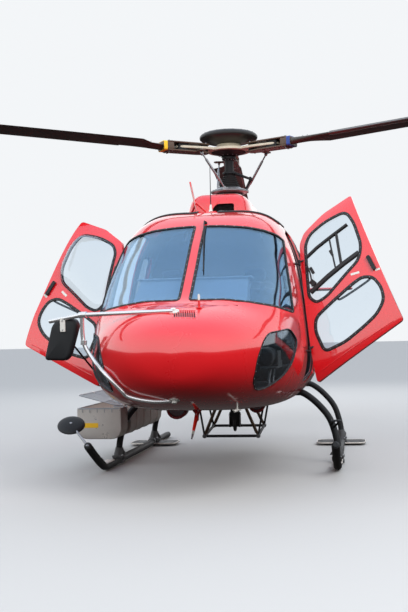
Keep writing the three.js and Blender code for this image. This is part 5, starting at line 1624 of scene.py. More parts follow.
def cowlSolid(inset, table, ahead=0.0, behind=0.0):
    rings = []
    for y, top, half, base in smoothRows(table, 70):
        y = min(max(y, table[0][0] + ahead), table[-1][0] - behind)
        if rings and y - rings[-1][0].y < 0.5:
            rings.pop()
        rings.append([Vector((x, y, z)) for x, z in cowlLine(top - inset, half - inset, base - inset)])
    return skinOver(rings)


# Where a line from the side, through (y, z), meets a cowling, with the way it faces there
def onCowl(y, z, side=1):
    table = cowlAhead if y < 360.2 else cowlBehind
    rows = smoothRows(table, 70)

    def half(y, z):
        row = rows[-1]
        for a, b in zip(rows, rows[1:]):
            if a[0] <= y <= b[0]:
                t = (y - a[0]) / (b[0] - a[0])
                row = [p + (q - p) * t for p, q in zip(a, b)]
        line = cowlLine(*row[1:])
        best = 0.0
        for (x0, z0), (x1, z1) in zip(line, line[1:] + line[:1]):
            if x0 > 0 and (z0 - z) * (z1 - z) <= 0 and abs(z1 - z0) > 1e-6:
                best = max(best, x0 + (x1 - x0) * (z - z0) / (z1 - z0))
        return best
    x = half(y, z)
    across = Vector((half(y, z + 4) - half(y, z - 4), 0, 8)).normalized()
    along = Vector((half(y + 4, z) - half(y - 4, z), 8, 0)).normalized()
    normal = along.cross(across).normalized()
    if normal.x < 0:
        normal.negate()
    return Vector((side * x, y, z)), Vector((side * normal.x, normal.y, normal.z))


def wires(lines, radius, finish):
    return grown(lineMesh(lines), wireTree, {"Wire Radius": radius, "Sides": 6, "Finish": finishes[finish]})


def makeWireTree():
    tree, node, link, source, paint = shapeTree("wireMesh", ["Wire Radius"])
    curve, circle = node("GeometryNodeMeshToCurve"), node("GeometryNodeCurvePrimitiveCircle")
    skin = node("GeometryNodeCurveToMesh")
    skin.inputs["Fill Caps"].default_value = True
    link(source.outputs["Geometry"], curve.inputs["Mesh"])
    link(source.outputs["Sides"], circle.inputs["Resolution"])
    link(source.outputs["Wire Radius"], circle.inputs["Radius"])
    link(curve.outputs["Curve"], skin.inputs["Curve"])
    link(circle.outputs["Curve"], skin.inputs["Profile Curve"])
    link(skin.outputs["Mesh"], paint.inputs["Geometry"])
    return tree


wireTree = makeWireTree()


def buildCowlings():
    x0, x1, z0, z1 = cowlSetup["intake"]
    hole = rounded([(x0, z0), (x1, z0), (x1, z1), (x0 + 60, z1), (x0 + 18, z1 - 40)], 22)
    mastHole = rod((0, 0, 2600), (0, 0, 2900), 130.3, 56)
    ahead = less(cowlSolid(0, cowlAhead), cowlSolid(cowlThick, cowlAhead, 18, 50), prism(hole, "y", -1000, -640),
                 mastHole, hull(8.0))
    makePiece("forward_cowling", ahead, "redPaint", replaced=["transmission_cowling"])
    pipeStart, pipeEnd = Vector((0, 1600, 2430)), Vector((0, 2060, 2470))
    pipeHole = rod(pipeStart, pipeEnd, 151, 64)
    behind = less(cowlSolid(0, cowlBehind), cowlSolid(cowlThick, cowlBehind, 50, 18), pipeHole)
    makePiece("rear_cowling", behind, "redPaint", replaced=["engine_cowling"])
    duct = less(prism(offset(hole, 7), "y", -940, -700), prism(offset(hole, 1), "y", -960, -710))
    makePiece("intake_duct", duct, "black")
    lines = [[(x0 - 4 + 12 * i, -926, z0 - 6), (x0 - 4 + 12 * i, -926, z1 + 6)] for i in range(20)]
    lines += [[(x0 - 6, -925, z0 + 6 + 12 * i), (x1 + 6, -925, z0 + 6 + 12 * i)] for i in range(10)]
    makePiece("intake_mesh", wires(lines, 1.1, "mesh"), "mesh")
    collar = [(112, 2722), (130, 2722), (146, 2727), (148, 2733), (132, 2736), (114, 2735), (112, 2722)]
    makePiece("mast_collar", upright(collar, 72), "rubber")
    rows, latches, screws = [], [], []
    for side in (1, -1):
        for y in (324, 396):
            rows.append([onCowl(y, z, side) for z in range(2140, 2700, 24)])
        for z, a, b in ((2640, -880, 330), (2660, 400, 1300)):
            rows.append([onCowl(y, z - (y > 360) * (y - 400) * 0.05, side) for y in range(a, b, 36)])
        for y in cowlSetup["latches"]:
            place, normal = onCowl(y, 2330, side)
            frame = Matrix.Translation(place) @ normal.to_track_quat("Z", "Y").to_matrix().to_4x4()
            body = joinMeshes(softBox(-16, 16, -46, 46, -2, 4, 9, 1.0), softBox(-10, 10, -34, 30, 4, 8, 5, 1.2))
            latches.append(movedMesh(body, frame))
            screws += [(place + (frame.to_3x3() @ Vector((0, v, 4))), normal) for v in (-40, 40)]
    makePiece("cowl_rivets", heads(rows, "redPaint", closed=False, **rivetSetup), "redPaint")
    makePiece("cowl_latches", joinMeshes(*latches), "steel")
    makePiece("cowl_latch_screws", bolts(screws, 4, 2), "alloy")
    joints = [bead([onCowl(360.1, z) for z in range(2150, 2715, 22)], 4.0, 0.6, False)]
    for z, a, b in ((2255, -820, 340), (2262, 380, 1500)):
        joints.append(bead([onCowl(y, z) for y in range(a, b, 40)], 3.0, 0.5, False))
    joints = [shape for mesh in joints for shape in (mesh, mirrored(mesh))]
    makePiece("cowl_joints", joinMeshes(*joints), "rubber")
    along = (pipeEnd - pipeStart).normalized()
    wall = [(143, -14), (149, -14), (149, 430), (151, 446), (149.5, 461), (145, 461), (143, 450), (143, -14)]
    pipe = spun(wall, pipeStart, along, 72)
    makePiece("exhaust_skin", pipe, "exhaust", replaced=["exhaust_pipe"])
    clamp = [(149, 92), (155, 92), (157, 98), (157, 112), (155, 118), (149, 118), (149, 92)]
    makePiece("exhaust_clamp", spun(clamp, pipeStart, along, 72), "steel")
    case = [(0, 722), (96, 722), (120, 740), (126, 800), (150, 812), (158, 830), (150, 846), (150, 960), (165, 972),
            (165, 1090), (152, 1104), (152, 1300), (163, 1312), (163, 1340), (152, 1352), (150, 1560), (132, 1584),
            (0, 1584)]
    engine = spun(case, (0, 0, 2430), (0, 1, 0), 56)
    gearbox = [(0, 2490), (176, 2490), (188, 2502), (188, 2560), (178, 2566), (178, 2590), (188, 2598), (188, 2632),
               (170, 2644), (130, 2650), (126, 2700), (108, 2788), (148, 2792), (150, 2800), (150, 2824), (146, 2829),
               (0, 2829)]
    shaft = rod((0, 150, 2545), (0, 800, 2440), 42, 28)
    parts = [engine, upright(gearbox, 56), shaft]
    parts += [aroundHub(softBox(-6, 6, 120, 184, 2500, 2640, 3, 1), 22.5 * i) for i in range(16)]
    pipes = [tube(curved([(120, 800, 2520), (150, 900, 2580), (130, 1080, 2600), (90, 1200, 2570)], 8), 12, 14),
             tube(curved([(-130, 780, 2480), (-170, 900, 2520), (-150, 1100, 2560), (-90, 1250, 2570)], 8), 10, 14)]
    makePiece("engine_block", joinMeshes(*parts), "casting", replaced=["engine_and_gearbox"])
    makePiece("engine_pipes", joinMeshes(*pipes), "steel")
    ring = [((math.cos(a) * 150, 972, 2430 + math.sin(a) * 150), (0, -1, 0)) for a in turns(18)]
    makePiece("engine_bolts", bolts(ringAt(140, 2829, 16) + ring, 6, 5), "alloy")
    print("cowlings built")


# Tail
tailSetup = {"bands": (2030, 2640, 3280, 3920, 4560, 5120, 5700, 6280, 6730), "rivet": 44.0}
tailRotorSetup = {"x": -330.0, "y": 6665.0, "z": 2360.0, "radius": 930.0, "chord": 185.0}
finHeight = 5400  # the station whose height the stabilizer keeps
# place along the span or the height, leading edge, chord, thickness
wingTable = [(1200, 5181, 448, 55), (1240, 5196, 400, 46), (1258, 5222, 338, 30), (1265, 5256, 268, 10)]
upperFinTable = [(2130, 5960, 900, 95), (2600, 6336, 700, 79), (3060, 6704, 508, 63), (3115, 6752, 478, 56),
                 (3145, 6786, 428, 40), (3160, 6826, 370, 14)]
lowerFinTable = [(1160, 7136, 338, 14), (1172, 7104, 372, 38), (1192, 7080, 388, 54), (1500, 6738, 470, 69),
                 (2080, 6100, 620, 95)]
coverTable = [(2100, 40, 30), (2600, 75, 85), (4600, 70, 75), (5880, 65, 70), (5990, 30, 30)]  # y, half width, rise


def boomRadius(y):
    return 300 - (y - 2000) / 4780 * 150


def boomHeight(y):
    return 1830 + (y - 2000) / 4780 * 290


def boomPlace(y, degrees):
    a = math.radians(degrees)
    way = Vector((math.cos(a), 0.031, math.sin(a))).normalized()
    return Vector((math.cos(a) * boomRadius(y), y, boomHeight(y) + math.sin(a) * boomRadius(y))), way


def finSkin(table, axis, step):
    rings = []
    for w, leading, chord, thickness in smoothRows(table, step):
        put = (lambda a, b: (b, a, w)) if axis == "z" else (lambda a, b: (w, a, boomHeight(finHeight) + b))
        rings.append(foilRing(leading, chord, thickness, put, 18))
    return skinOver(rings)


def buildTail():
    stations = [(1940, -2), (2000.3, 0)] + [(2000 + 239 * i, 0) for i in range(1, 20)]
    rings = []
    for y, grow in stations + [(6760, 0), (6774, -6), (6780, -22)]:
        r = boomRadius(y) + grow
        rings.append([(math.cos(a) * r, y, boomHeight(y) + math.sin(a) * r) for a in turns(72)])
    makePiece("boom_skin", skinOver(rings), "redPaint", replaced=["tail_boom"])
    rows = []
    for y in tailSetup["bands"]:
        for shift in (-16, 16):
            rows.append([boomPlace(y + shift, 360 * i / 60) for i in range(60)])
    bands = heads(rows, "redPaint", tailSetup["rivet"], 3.4, 1.2)
    lines = [[boomPlace(y, degrees) for y in range(2060, 6700, 60)] for degrees in (-58, -122, 38, 142)]
    seams = heads(lines, "redPaint", tailSetup["rivet"], 3.4, 1.2, closed=False)
    makePiece("boom_rivets", joinMeshes(bands, seams), "redPaint")
    joints = [bead([boomPlace(y, 360 * i / 72) for i in range(72)], 3.0, 0.5) for y in tailSetup["bands"][:-1]]
    makePiece("boom_joints", joinMeshes(*joints), "rubber")
    cover = []
    for y, half, rise in smoothRows(coverTable, 90):
        top = boomHeight(y) + boomRadius(y)
        right = [(half, -60), (half, rise * 0.5), (half * 0.6, rise)]
        flat = rounded(right + [(-x, z) for x, z in right[::-1]], 26, 6)
        cover.append([(x, y, top + z) for x, z in flat])
    makePiece("shaft_cover", skinOver(cover), "redPaint", replaced=["driveshaft_cover"])
    clips, screws = [], []
    for y in range(2800, 5800, 500):
        for side in (1, -1):
            x, z = side * 73, boomHeight(y) + boomRadius(y) + 8
            clips.append(softBox(x - 4, x + 4, y - 26, y + 26, z - 26, z + 12, 5, 1.2, "x"))
            screws += [((x + side * 4, y + v, z - 18), (side, 0, 0)) for v in (-16, 16)]
    makePiece("shaft_cover_clips", joinMeshes(*clips), "steel")
    makePiece("shaft_cover_screws", bolts(screws, 4, 2), "alloy")
    wing = [(-x, *row) for x, *row in wingTable[::-1]] + [(0, 5180, 450, 55)] + wingTable
    fins = (("stabilizer_skin", wing, "x", 80, "horizontal_stabilizer"),
            ("upper_fin_skin", upperFinTable, "z", 60, "upper_fin"),
            ("lower_fin_skin", lowerFinTable, "z", 60, "lower_fin"))
    for name, table, axis, step, node in fins:
        makePiece(name, finSkin(table, axis, step), "redPaint", replaced=[node])
    guard = [(0, 6560, 1600), (0, 6720, 1290), (0, 6960, 1100), (0, 7250, 1085), (0, 7420, 1180)]
    makePiece("tail_guard", tube(curved(guard, 14), 15, 22), "alloy")
    rows = []
    for side in (1, -1):
        for share, fill in ((0.16, 0.93), (0.72, 0.62)):
            rows.append([(Vector((side * 0.5 * (95 - (z - 2260) * 0.036) * fill,
                                  5960 + (z - 2130) * 0.8 + share * (900 - (z - 2130) * 0.42), z)),
                          Vector((side, 0.05, 0))) for z in range(2290, 3080, 30)])
        for y, rise in ((5240, 23.5), (5500, 18.5)):
            rows.append([(Vector((x, y, boomHeight(finHeight) + side * rise)), Vector((0, 0, side)))
                         for x in range(-1180, 1181, 40)])
    makePiece("fin_rivets", heads(rows, "redPaint", 44.0, 3.4, 3.0, closed=False), "redPaint")
    hub = tailRotorSetup
    place = Vector((-20, hub["y"], hub["z"]))
    case = [(0, 0), (84, 0), (95, 8), (95, 44), (90, 50), (90, 58), (95, 64), (95, 128), (90, 134), (90, 142),
            (95, 148), (95, 198), (92, 208), (72, 236), (60, 248), (34, 250), (30, 246), (0, 246)]
    case = spun(case, place, (-1, 0, 0), 56)
    makePiece("tail_gearbox_case", case, "alloy", replaced=["tail_gearbox"])
    studs = [(place + Vector((-208, math.cos(a) * 84, math.sin(a) * 84)), (-1, 0, 0)) for a in turns(12)]
    makePiece("tail_gearbox_bolts", bolts(studs, 6, 5), "steel")
    x, y, z, radius, chord = (hub[key] for key in ("x", "y", "z", "radius", "chord"))
    table = [(150, 80, 30), (210, 110, 28), (300, chord, 24), (860, chord, 22), (radius - 25, chord * 0.98, 18),
             (radius, chord * 0.84, 8)]

    def bladeSkin(rows, side, grow=0.0):
        return skinOver([foilRing(-wide * 0.42 - grow, wide + 2 * grow, thick + 2 * grow,
                                  lambda a, b: (x + b, y + side * a, z + side * r), 14) for r, wide, thick in rows])
    blades = [bladeSkin(smoothRows(table, 45), side) for side in (1, -1)]
    makePiece("tail_rotor_blades", joinMeshes(*blades), "blade", "tail_rotor", ["tail_rotor"])
    tips = [bladeSkin(((780, chord, 22.3), (850, chord, 22.0)), side, 0.8) for side in (1, -1)]
    makePiece("tail_rotor_bands", joinMeshes(*tips), "yellow", "tail_rotor")
    shaft = spun([(0, -150), (24, -150), (24, 20), (30, 26), (30, 34), (22, 38), (0, 38)], (x, y, z), (-1, 0, 0), 40)
    yoke = softBox(x - 33, x + 33, y - 58, y + 58, z - 150, z + 150, 16, 5, "x")
    spider = [spun([(25, 52), (40, 52), (44, 56), (44, 74), (40, 78), (25, 78), (25, 52)], (x, y, z), (1, 0, 0), 40)]
    for side in (1, -1):
        low, high = sorted((z, z + side * 110))
        spider.append(softBox(x + 56, x + 74, y - 12, y + 12, low, high, 6, 2, "x"))
        spider.append(tube([(x + 65, y + side * 18, z + side * 96), (x + 6, y + side * 66, z + side * 120)], 6.5, 12))
    makePiece("tail_rotor_hub", joinMeshes(shaft, yoke, *spider), "steel", "tail_rotor")
    studs = [((x + turn * 33, y + a, z + b), (turn, 0, 0)) for turn in (1, -1) for a in (-40, 40)
             for b in (-130, -60, 60, 130)]
    makePiece("tail_rotor_bolts", bolts(studs, 8, 6), "alloy", "tail_rotor")
    print("tail built")


buildCowlings()
buildTail()


# Steel basket on the starboard side, with a mesh lid that stands a little open
basketSetup = {"x0": -1470.0, "x1": -1010.0, "y0": -1000.0, "y1": 960.0, "z0": 285.0, "z1": 600.0, "wall": 5.0,
               "corner": 120.0, "grid": 40.0, "ribs": (-690, -340, 0, 340, 690), "recess": -1155}
lidSetup = {"z": 614.0, "open": 15.0, "frame": 6.0, "wire": 2.0}
gearRoom = (-743.0, -603.0)  # where the front leg passes through the tub's inner corner


def tubProfile(inset, top):
    b = basketSetup
    x0, x1, z0 = b["x0"] + inset, b["x1"] - inset, b["z0"] + inset
    low = rounded([(x0, top), (x0, z0), (x1, z0), (x1, top)], b["corner"] - inset, 12)
    return [(x0, top)] + low[13:39] + [(x1, top)]


def buildBasket():
    b = basketSetup
    x0, x1, y0, y1, z0, z1, wall = (b[key] for key in ("x0", "x1", "y0", "y1", "z0", "z1", "wall"))
    ends = [(y0, 16), (y0 + 3, 7), (y0 + 10, 2), (y0 + 24, 0), (y1 - 24, 0), (y1 - 10, 2), (y1 - 3, 7), (y1, 16)]
    outer = skinOver([[(x, y, z) for x, z in tubProfile(inset, z1 - 4)] for y, inset in ends])
    ends = [(y0 + wall, 16), (y0 + wall + 10, 3), (y0 + wall + 24, 0), (y1 - wall - 24, 0), (y1 - wall - 10, 3),
            (y1 - wall, 16)]
    inner = skinOver([[(x, y, z) for x, z in tubProfile(wall + inset, z1 + 60)] for y, inset in ends])
    low, high = gearRoom
    turnIn = b["recess"]
    recess = box(turnIn, x1 + 60, low, high, z0 - 50, z1 + 90)
    sheath = less(box(turnIn - wall, x1 - 0.5, low - wall, high + wall, z0 + 0.5, z1 - 5), recess)
    tub = fused(less(outer, inner, recess), shared(sheath, outer))
    ribs = []
    for y in b["ribs"]:
        if low - 30 < y < high + 30:
            continue
        line = tubProfile(-2, z1 - 24)
        ribs.append(tube(evenly([(x, y, z) for x, z in line], 26, False), 5.0, 10))
    makePiece("basket_tub", tub, "steel", replaced=["basket"])
    makePiece("basket_ribs", joinMeshes(*ribs), "steel")
    corners = [(x0 + 5, y0 + 5), (x1 - 5, y0 + 5), (x1 - 5, low - 6), (-1158, low - 6), (-1158, high + 6),
               (x1 - 5, high + 6), (x1 - 5, y1 - 5), (x0 + 5, y1 - 5)]
    rim = [(Vector((x, y, z1 - 6)), Vector((0, 0, 1))) for x, y in evenly(rounded(corners, 20, 4), 18)]
    makePiece("basket_rim", bead(rim, 12.0, 6.0, sink=6.0), "alloy")
    hooks, bow = [], [(1, 44), (6, 36), (7, 22), (1, 14)]
    for y in range(-900, 901, 150):
        hooks.append(tube(curved([(x0 - out, y, z1 - down) for out, down in bow], 6), 3.5, 10))
    for x in range(int(x0) + 60, int(x1) - 30, 76):
        hooks.append(tube(curved([(x, y0 - out, z1 - down) for out, down in bow], 6), 3.5, 10))
    makePiece("basket_hooks", joinMeshes(*hooks), "alloy")
    front, rear = gearSetup["front"], gearSetup["rear"]
    brackets = [softBox(-1156, x1, front + a, front + a + 32, 430, 450, 8, 3) for a in (-66, 34)]
    brackets.append(softBox(-1120, x1 + 6, y1 - 10, rear + 44, 430, 450, 12, 3))
    for y in (front, rear):
        ring = [(36, -16), (44, -14), (44, 14), (36, 16), (33, 12), (33, -12), (36, -16)]
        brackets.append(spun(ring, (-1062, y, 440), Vector((-0.35, 0, 1)), 40))
    makePiece("basket_brackets", joinMeshes(*brackets), "alloy")
    nuts = [((x, y, 450), (0, 0, 1)) for x in (-1140, -1040) for y in (front - 50, front + 50)]
    nuts += [((x, 1010, 450), (0, 0, 1)) for x in (-1100, -1030)]
    rivets = [((x0 + 14 + 36 * i, y0 - 0.5, z1 - 18), (0, -1, 0)) for i in range(13)]
    makePiece("basket_bolts", joinMeshes(bolts(nuts, 8, 6), bolts(rivets, 3.5, 2)), "steel")
    makePiece("basket_placard", softBox(-1410, -1250, y0 - 2.4, y0 + 1, 402, 449, 6, 0.8, "y"), "yellow")
    # the hinges' halves
    line = [Vector((x1 - 4, y, lidSetup["z"])) for y in (y0 + 150, y1 - 150)]
    opened = Matrix.Rotation(math.radians(lidSetup["open"]), 4, "Y")
    turn = Matrix.Translation(line[0]) @ opened @ Matrix.Translation(-line[0])
    fixed = [hingeHalf(*line, share, -1, lambda p: Vector((p.x, p.y, z1 - 20))) for share in (0, 1)]
    moving = [hingeHalf(*line, share, 1, lambda p: Vector((p.x - 60, p.y, p.z))) for share in (0, 1)]
    makePiece("basket_hinges", joinMeshes(*fixed), "steel")
    # lid: a tube frame with cross tubes, filled with wire mesh
    z, r, grid = lidSetup["z"], lidSetup["frame"], b["grid"]
    lx0, lx1 = x0 + r, x1 - 22 - r
    notch = turnIn - r
    border = rounded([(lx0, y0 + r), (lx1, y0 + r), (lx1, low - r), (notch, low - r), (notch, high + r),
                      (lx1, high + r), (lx1, y1 - r), (lx0, y1 - r)], 26, 6)
    ring = [Vector((x, y, z)) for x, y in evenly(border, 24)]
    frame = [tube(ring + ring[:2], r, 14)]
    frame += [tube([(lx0, y, z), (lx1, y, z)], 4.6, 12) for y in (-480, -60, 330, 660)]
    lines = []
    y = y0 + r + grid / 2
    while y < y1 - r:
        end = notch if low - r < y < high + r else lx1
        lines.append([(lx0, y, z + 1.8), (end, y, z + 1.8)])
        y += grid
    x = lx0 + grid / 2
    while x < lx1:
        spans = [(y0 + r, y1 - r)] if x < notch else [(y0 + r, low - r), (high + r, y1 - r)]
        lines += [[(x, start, z - 1.8), (x, end, z - 1.8)] for start, end in spans]
        x += grid
    panel = joinMeshes(*frame, *moving)
    body = "basket_lid"
    makePiece("lid_frame", movedMesh(panel, turn), "alloy", body, ["basket_lid"])
    makePiece("lid_mesh", movedMesh(wires(lines, lidSetup["wire"], "alloy"), turn), "alloy", body)
    catches = [softBox(lx0 - 4, lx0 + 26, y - 18, y + 18, z - 10, z + 10, 6, 2) for y in (-500, 460)]
    makePiece("lid_catches", movedMesh(joinMeshes(*catches), turn), "steel", body)
    print("basket built")


buildBasket()


# Door handles, latches, sliding windows' rails and blank placards, each drawn on the closed door
doorSetup = {"handle": (-1215.0, 1530.0), "railUpper": [(-1690, 1948), (-1560, 1974), (-1400, 1988), (-1225, 2000)],
             "railLower": [(-1800, 1622), (-1600, 1660), (-1420, 1682), (-1262, 1692)],
             "pull": [(-1300, 1440, -2), (-1320, 1436, 34), (-1480, 1432, 44), (-1600, 1430, 34), (-1620, 1428, -2)],
             "latchRod": [(-1240, 1100, 8), (-1222, 1400, 12), (-1190, 1560, 12), (-1150, 1900, 8)]}


def onSide(y, z, side, lift):
    place = Vector((side * halfWidth(y, z), y, z))
    return place + bodyNormal(place) * lift


def sideBlock(y, z, side, wide, tall, thick, corner, lift=0.0, turn=0.0):
    place = onSide(y, z, side, lift)
    normal = bodyNormal(place)
    along = Vector((0, 1, 0))
    up = normal.cross(along).normalized() * side
    along = up.cross(normal).normalized() * side
    frame = Matrix((along, up, normal)).transposed().to_4x4()
    if frame.determinant() < 0:
        frame = Matrix((-along, up, normal)).transposed().to_4x4()
    spin = Matrix.Rotation(math.radians(turn), 4, "Z")
    return movedMesh(softBox(-wide / 2, wide / 2, -tall / 2, tall / 2, -2, thick, corner, 1.2),
                     Matrix.Translation(place) @ frame @ spin)


def buildDoorFittings():
    for name, side in bothNames:
        body, swing = "front_door_" + name, doorSwing(name)
        y, z = doorSetup["handle"]
        handle = [sideBlock(y - 3, z + 4, side, 34, 150, 16, 14, 6, -3), sideBlock(y, z + 62, side, 26, 30, 8, 8),
                  sideBlock(y - 8, z - 52, side, 26, 30, 8, 8)]
        makePiece("door_handle_" + name, movedMesh(joinMeshes(*handle), swing), "black", body)
        plates = [sideBlock(-1382, 1537, side, 78, 22, 1.6, 3, 0, -19),
                  sideBlock(-1202, 1452, side, 46, 20, 1.6, 3, 0, -19)]
        makePiece("door_placards_" + name, movedMesh(joinMeshes(*plates), swing), "white", body)
        crease = sidePath([(-2050, 955), (-1700, 975), (-1310, 985)], side, 26, False)
        makePiece("door_crease_" + name, movedMesh(bead(crease, 9.0, 2.0, False), swing), "redPaint", body)
        # inside: trim frame, pull strap, latch box and its rod
        inner, inwards = [], Vector((-side, 0, 0))
        for line, out, wide in ((upperWindowLine, 16, 20.0), (lowerWindowLine, 14, 18.0)):
            trim = [(p + inwards * (doorThick + 0.5), inwards) for p, _ in sidePath(offset(line, out), side)]
            inner.append(bead(trim, wide, 4.0, sink=4.0))
        makePiece("door_trim_" + name, movedMesh(joinMeshes(*inner), swing), "trim", body)

        def inside(y, z, depth):
            return Vector((side * (halfWidth(y, z) - doorThick - depth), y, z))
        pull = tube(curved([inside(*place) for place in doorSetup["pull"]]), 10.0, 16)
        latchRod = tube(curved([inside(*place) for place in doorSetup["latchRod"]]), 6.0, 12)
        x, y, z = inside(-1225, 1500, 8)
        latch = softBox(x - 12, x + 12, y - 34, y + 34, z - 60, z + 60, 10, 3, "x")
        makePiece("door_latch_" + name, movedMesh(joinMeshes(pull, latchRod, latch), swing), "black", body)
        if side > 0:
            rails = []
            for key, wide, high in (("railUpper", 26.0, 10.0), ("railLower", 40.0, 12.0)):
                path = sidePath(doorSetup[key], side, 20, False)
                rails.append(bead(path, wide, high, False, 14.0))
            for top, low, wide in (((-1350, 1978), (-1444, 1690), 22.0), ((-1425, 1975), (-1502, 1698), 12.0)):
                rails.append(bead(sidePath([top, low], side, 20, False), wide, 6.0, False, 12.0))
            grabs = [sideBlock(-1694, 1800, side, 26, 70, 12, 6, -6),
                     sideBlock(-1740, 1690, side, 46, 60, 14, 8, -6, 20),
                     sideBlock(-1470, 1840, side, 22, 60, 12, 6, -6)]
            grip = [onSide(y, z, side, lift) for y, z, lift in (
                (-1700, 1930, 4), (-1706, 1860, 20), (-1720, 1760, 20), (-1760, 1660, 4))]
            rails.append(tube(curved(grip), 7.0, 14))
            makePiece("sliding_window_rails", movedMesh(joinMeshes(*rails, *grabs), swing), "rubber", body)
        rear = [sideBlock(-1140, 1330, side, 26, 120, 10, 8), sideBlock(-1140, 1330, side, 44, 150, 3, 12)]
        makePiece("rear_handle_" + name, joinMeshes(*rear), "black")
        rails = [bead(sidePath(line, side, 26, False), 20.0, 7.0, False) for line in (
            [(-470, 1250), (480, 1250)], [(-430, 2215), (300, 2160)])]
        makePiece("slide_rails_" + name, joinMeshes(*rails), "black")
        bay = [sideBlock(y, 905, side, 46, 34, 5, 8) for y in (170, 570)]
        makePiece("bay_latches_" + name, joinMeshes(*bay), "steel", "bay_door_" + name)
    print("door fittings built")


buildDoorFittings()


# Cabin inside: lining, floor mat, seats, belts, panel and controls
cushionSetup = {"voxel": 0.010, "pressure": 4.0, "frames": 20, "cap": 0.024, "fill": 0.7, "seamDepth": 0.010,
                "seamWidth": 0.009, "inset": 16.0}
panelFace = [(-300, 830.3), (250, 830.3), (270, 1240), (468, 1400), (468, 1840), (-400, 1840), (-500, 1520),
             (-500, 1330), (-320, 1200)]
panelDepth = [(-2620, 820), (-2395, 820), (-2395, 1850), (-2465, 1850), (-2620, 1560)]


# A pad blown up a little by Cloth, with the way that each point may go capped. The mesh is in metres
def blownUp(mesh, subdivide):
    scene = bpy.context.scene
    pad = linked("pad", mesh)
    remesh = pad.modifiers.new("voxels", "REMESH")
    remesh.mode, remesh.voxel_size = "VOXEL", cushionSetup["voxel"]
    even = evaluated(pad)
    pad.modifiers.clear()
    pad.data = even
    cloth = pad.modifiers.new("air", "CLOTH")
    cloth.settings.use_pressure = True
    cloth.settings.uniform_pressure_force = cushionSetup["pressure"]
    cloth.settings.effector_weights.gravity = 0.0
    cloth.settings.quality = 5
    cloth.point_cache.frame_start, cloth.point_cache.frame_end = 1, cushionSetup["frames"]
    for number in range(1, cushionSetup["frames"] + 1):
        scene.frame_set(number)
    swollen = evaluated(pad)
    pad.modifiers.clear()
    for before, after in zip(even.vertices, swollen.vertices):
        way = after.co - before.co
        if way.length > cushionSetup["cap"]:
            way = way.normalized() * cushionSetup["cap"]
        before.co = before.co + way
    scene.frame_set(1)
    if subdivide:
        smooth = pad.modifiers.new("smooth", "SUBSURF")
        smooth.levels = smooth.render_levels = 1
        even = evaluated(pad)
        pad.modifiers.clear()
    bpy.data.objects.remove(pad)
    return even


# Sewn channels: lines along x or z where the cover is drawn in towards the middle
def sewn(mesh, channels, centre):
    depth, width = cushionSetup["seamDepth"], cushionSetup["seamWidth"]
    for vertex in mesh.vertices:
        pull = 0.0
        for axis, place in channels:
            pull = max(pull, math.exp(-((vertex.co[axis] - place) / width) ** 2))
        vertex.co += (centre - vertex.co).normalized() * (pull * depth)
    return mesh


def makePad(name, spans, crown, channels, replaced=(), subdivide=True):
    x0, x1, y0, y1, z0, z1 = spans
    inset = cushionSetup["inset"]
    rows = []
    for share, pull in ((0.0, 26), (0.1, 10), (0.3, 3), (0.5, 0), (0.7, 3), (0.9, 10), (1.0, 26)):
        left, right, low, high = x0 + inset + pull, x1 - inset - pull, z0 + inset + pull, z1 - inset - pull
        line = rounded([(left, low), (right, low), (right, high), (left, high)], crown, 8)
        rows.append([(x, y0 + inset + (y1 - y0 - 2 * inset) * share, z) for x, z in line])
    mesh = skinOver(rows)
    mesh.transform(toFrame)
    middle = toFrame @ Vector(((x0 + x1) / 2, (y0 + y1) / 2, (z0 + z1) / 2))
    marks = [(axis, (toFrame @ Vector((place, place, place)))[axis]) for axis, place in channels]
    piece = addObject(name, sewn(blownUp(mesh, subdivide), marks, middle), "seat")
    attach(piece, rootBody)
    if replaced:
        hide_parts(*replaced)
    return piece


def belt(points, width):
    # webbing along a line, flat across x
    rows, thick = [], 2.4
    for place, along, _ in framesAlong(curved(points)):
        across = Vector((1, 0, 0)) - along * along.x
        across.normalize()
        up = along.cross(across)
        rows.append([place + across * u + up * v for u, v in (
            (-width / 2, -thick / 2), (width / 2, -thick / 2), (width / 2, thick / 2), (-width / 2, thick / 2))])
    return skinOver(rows)


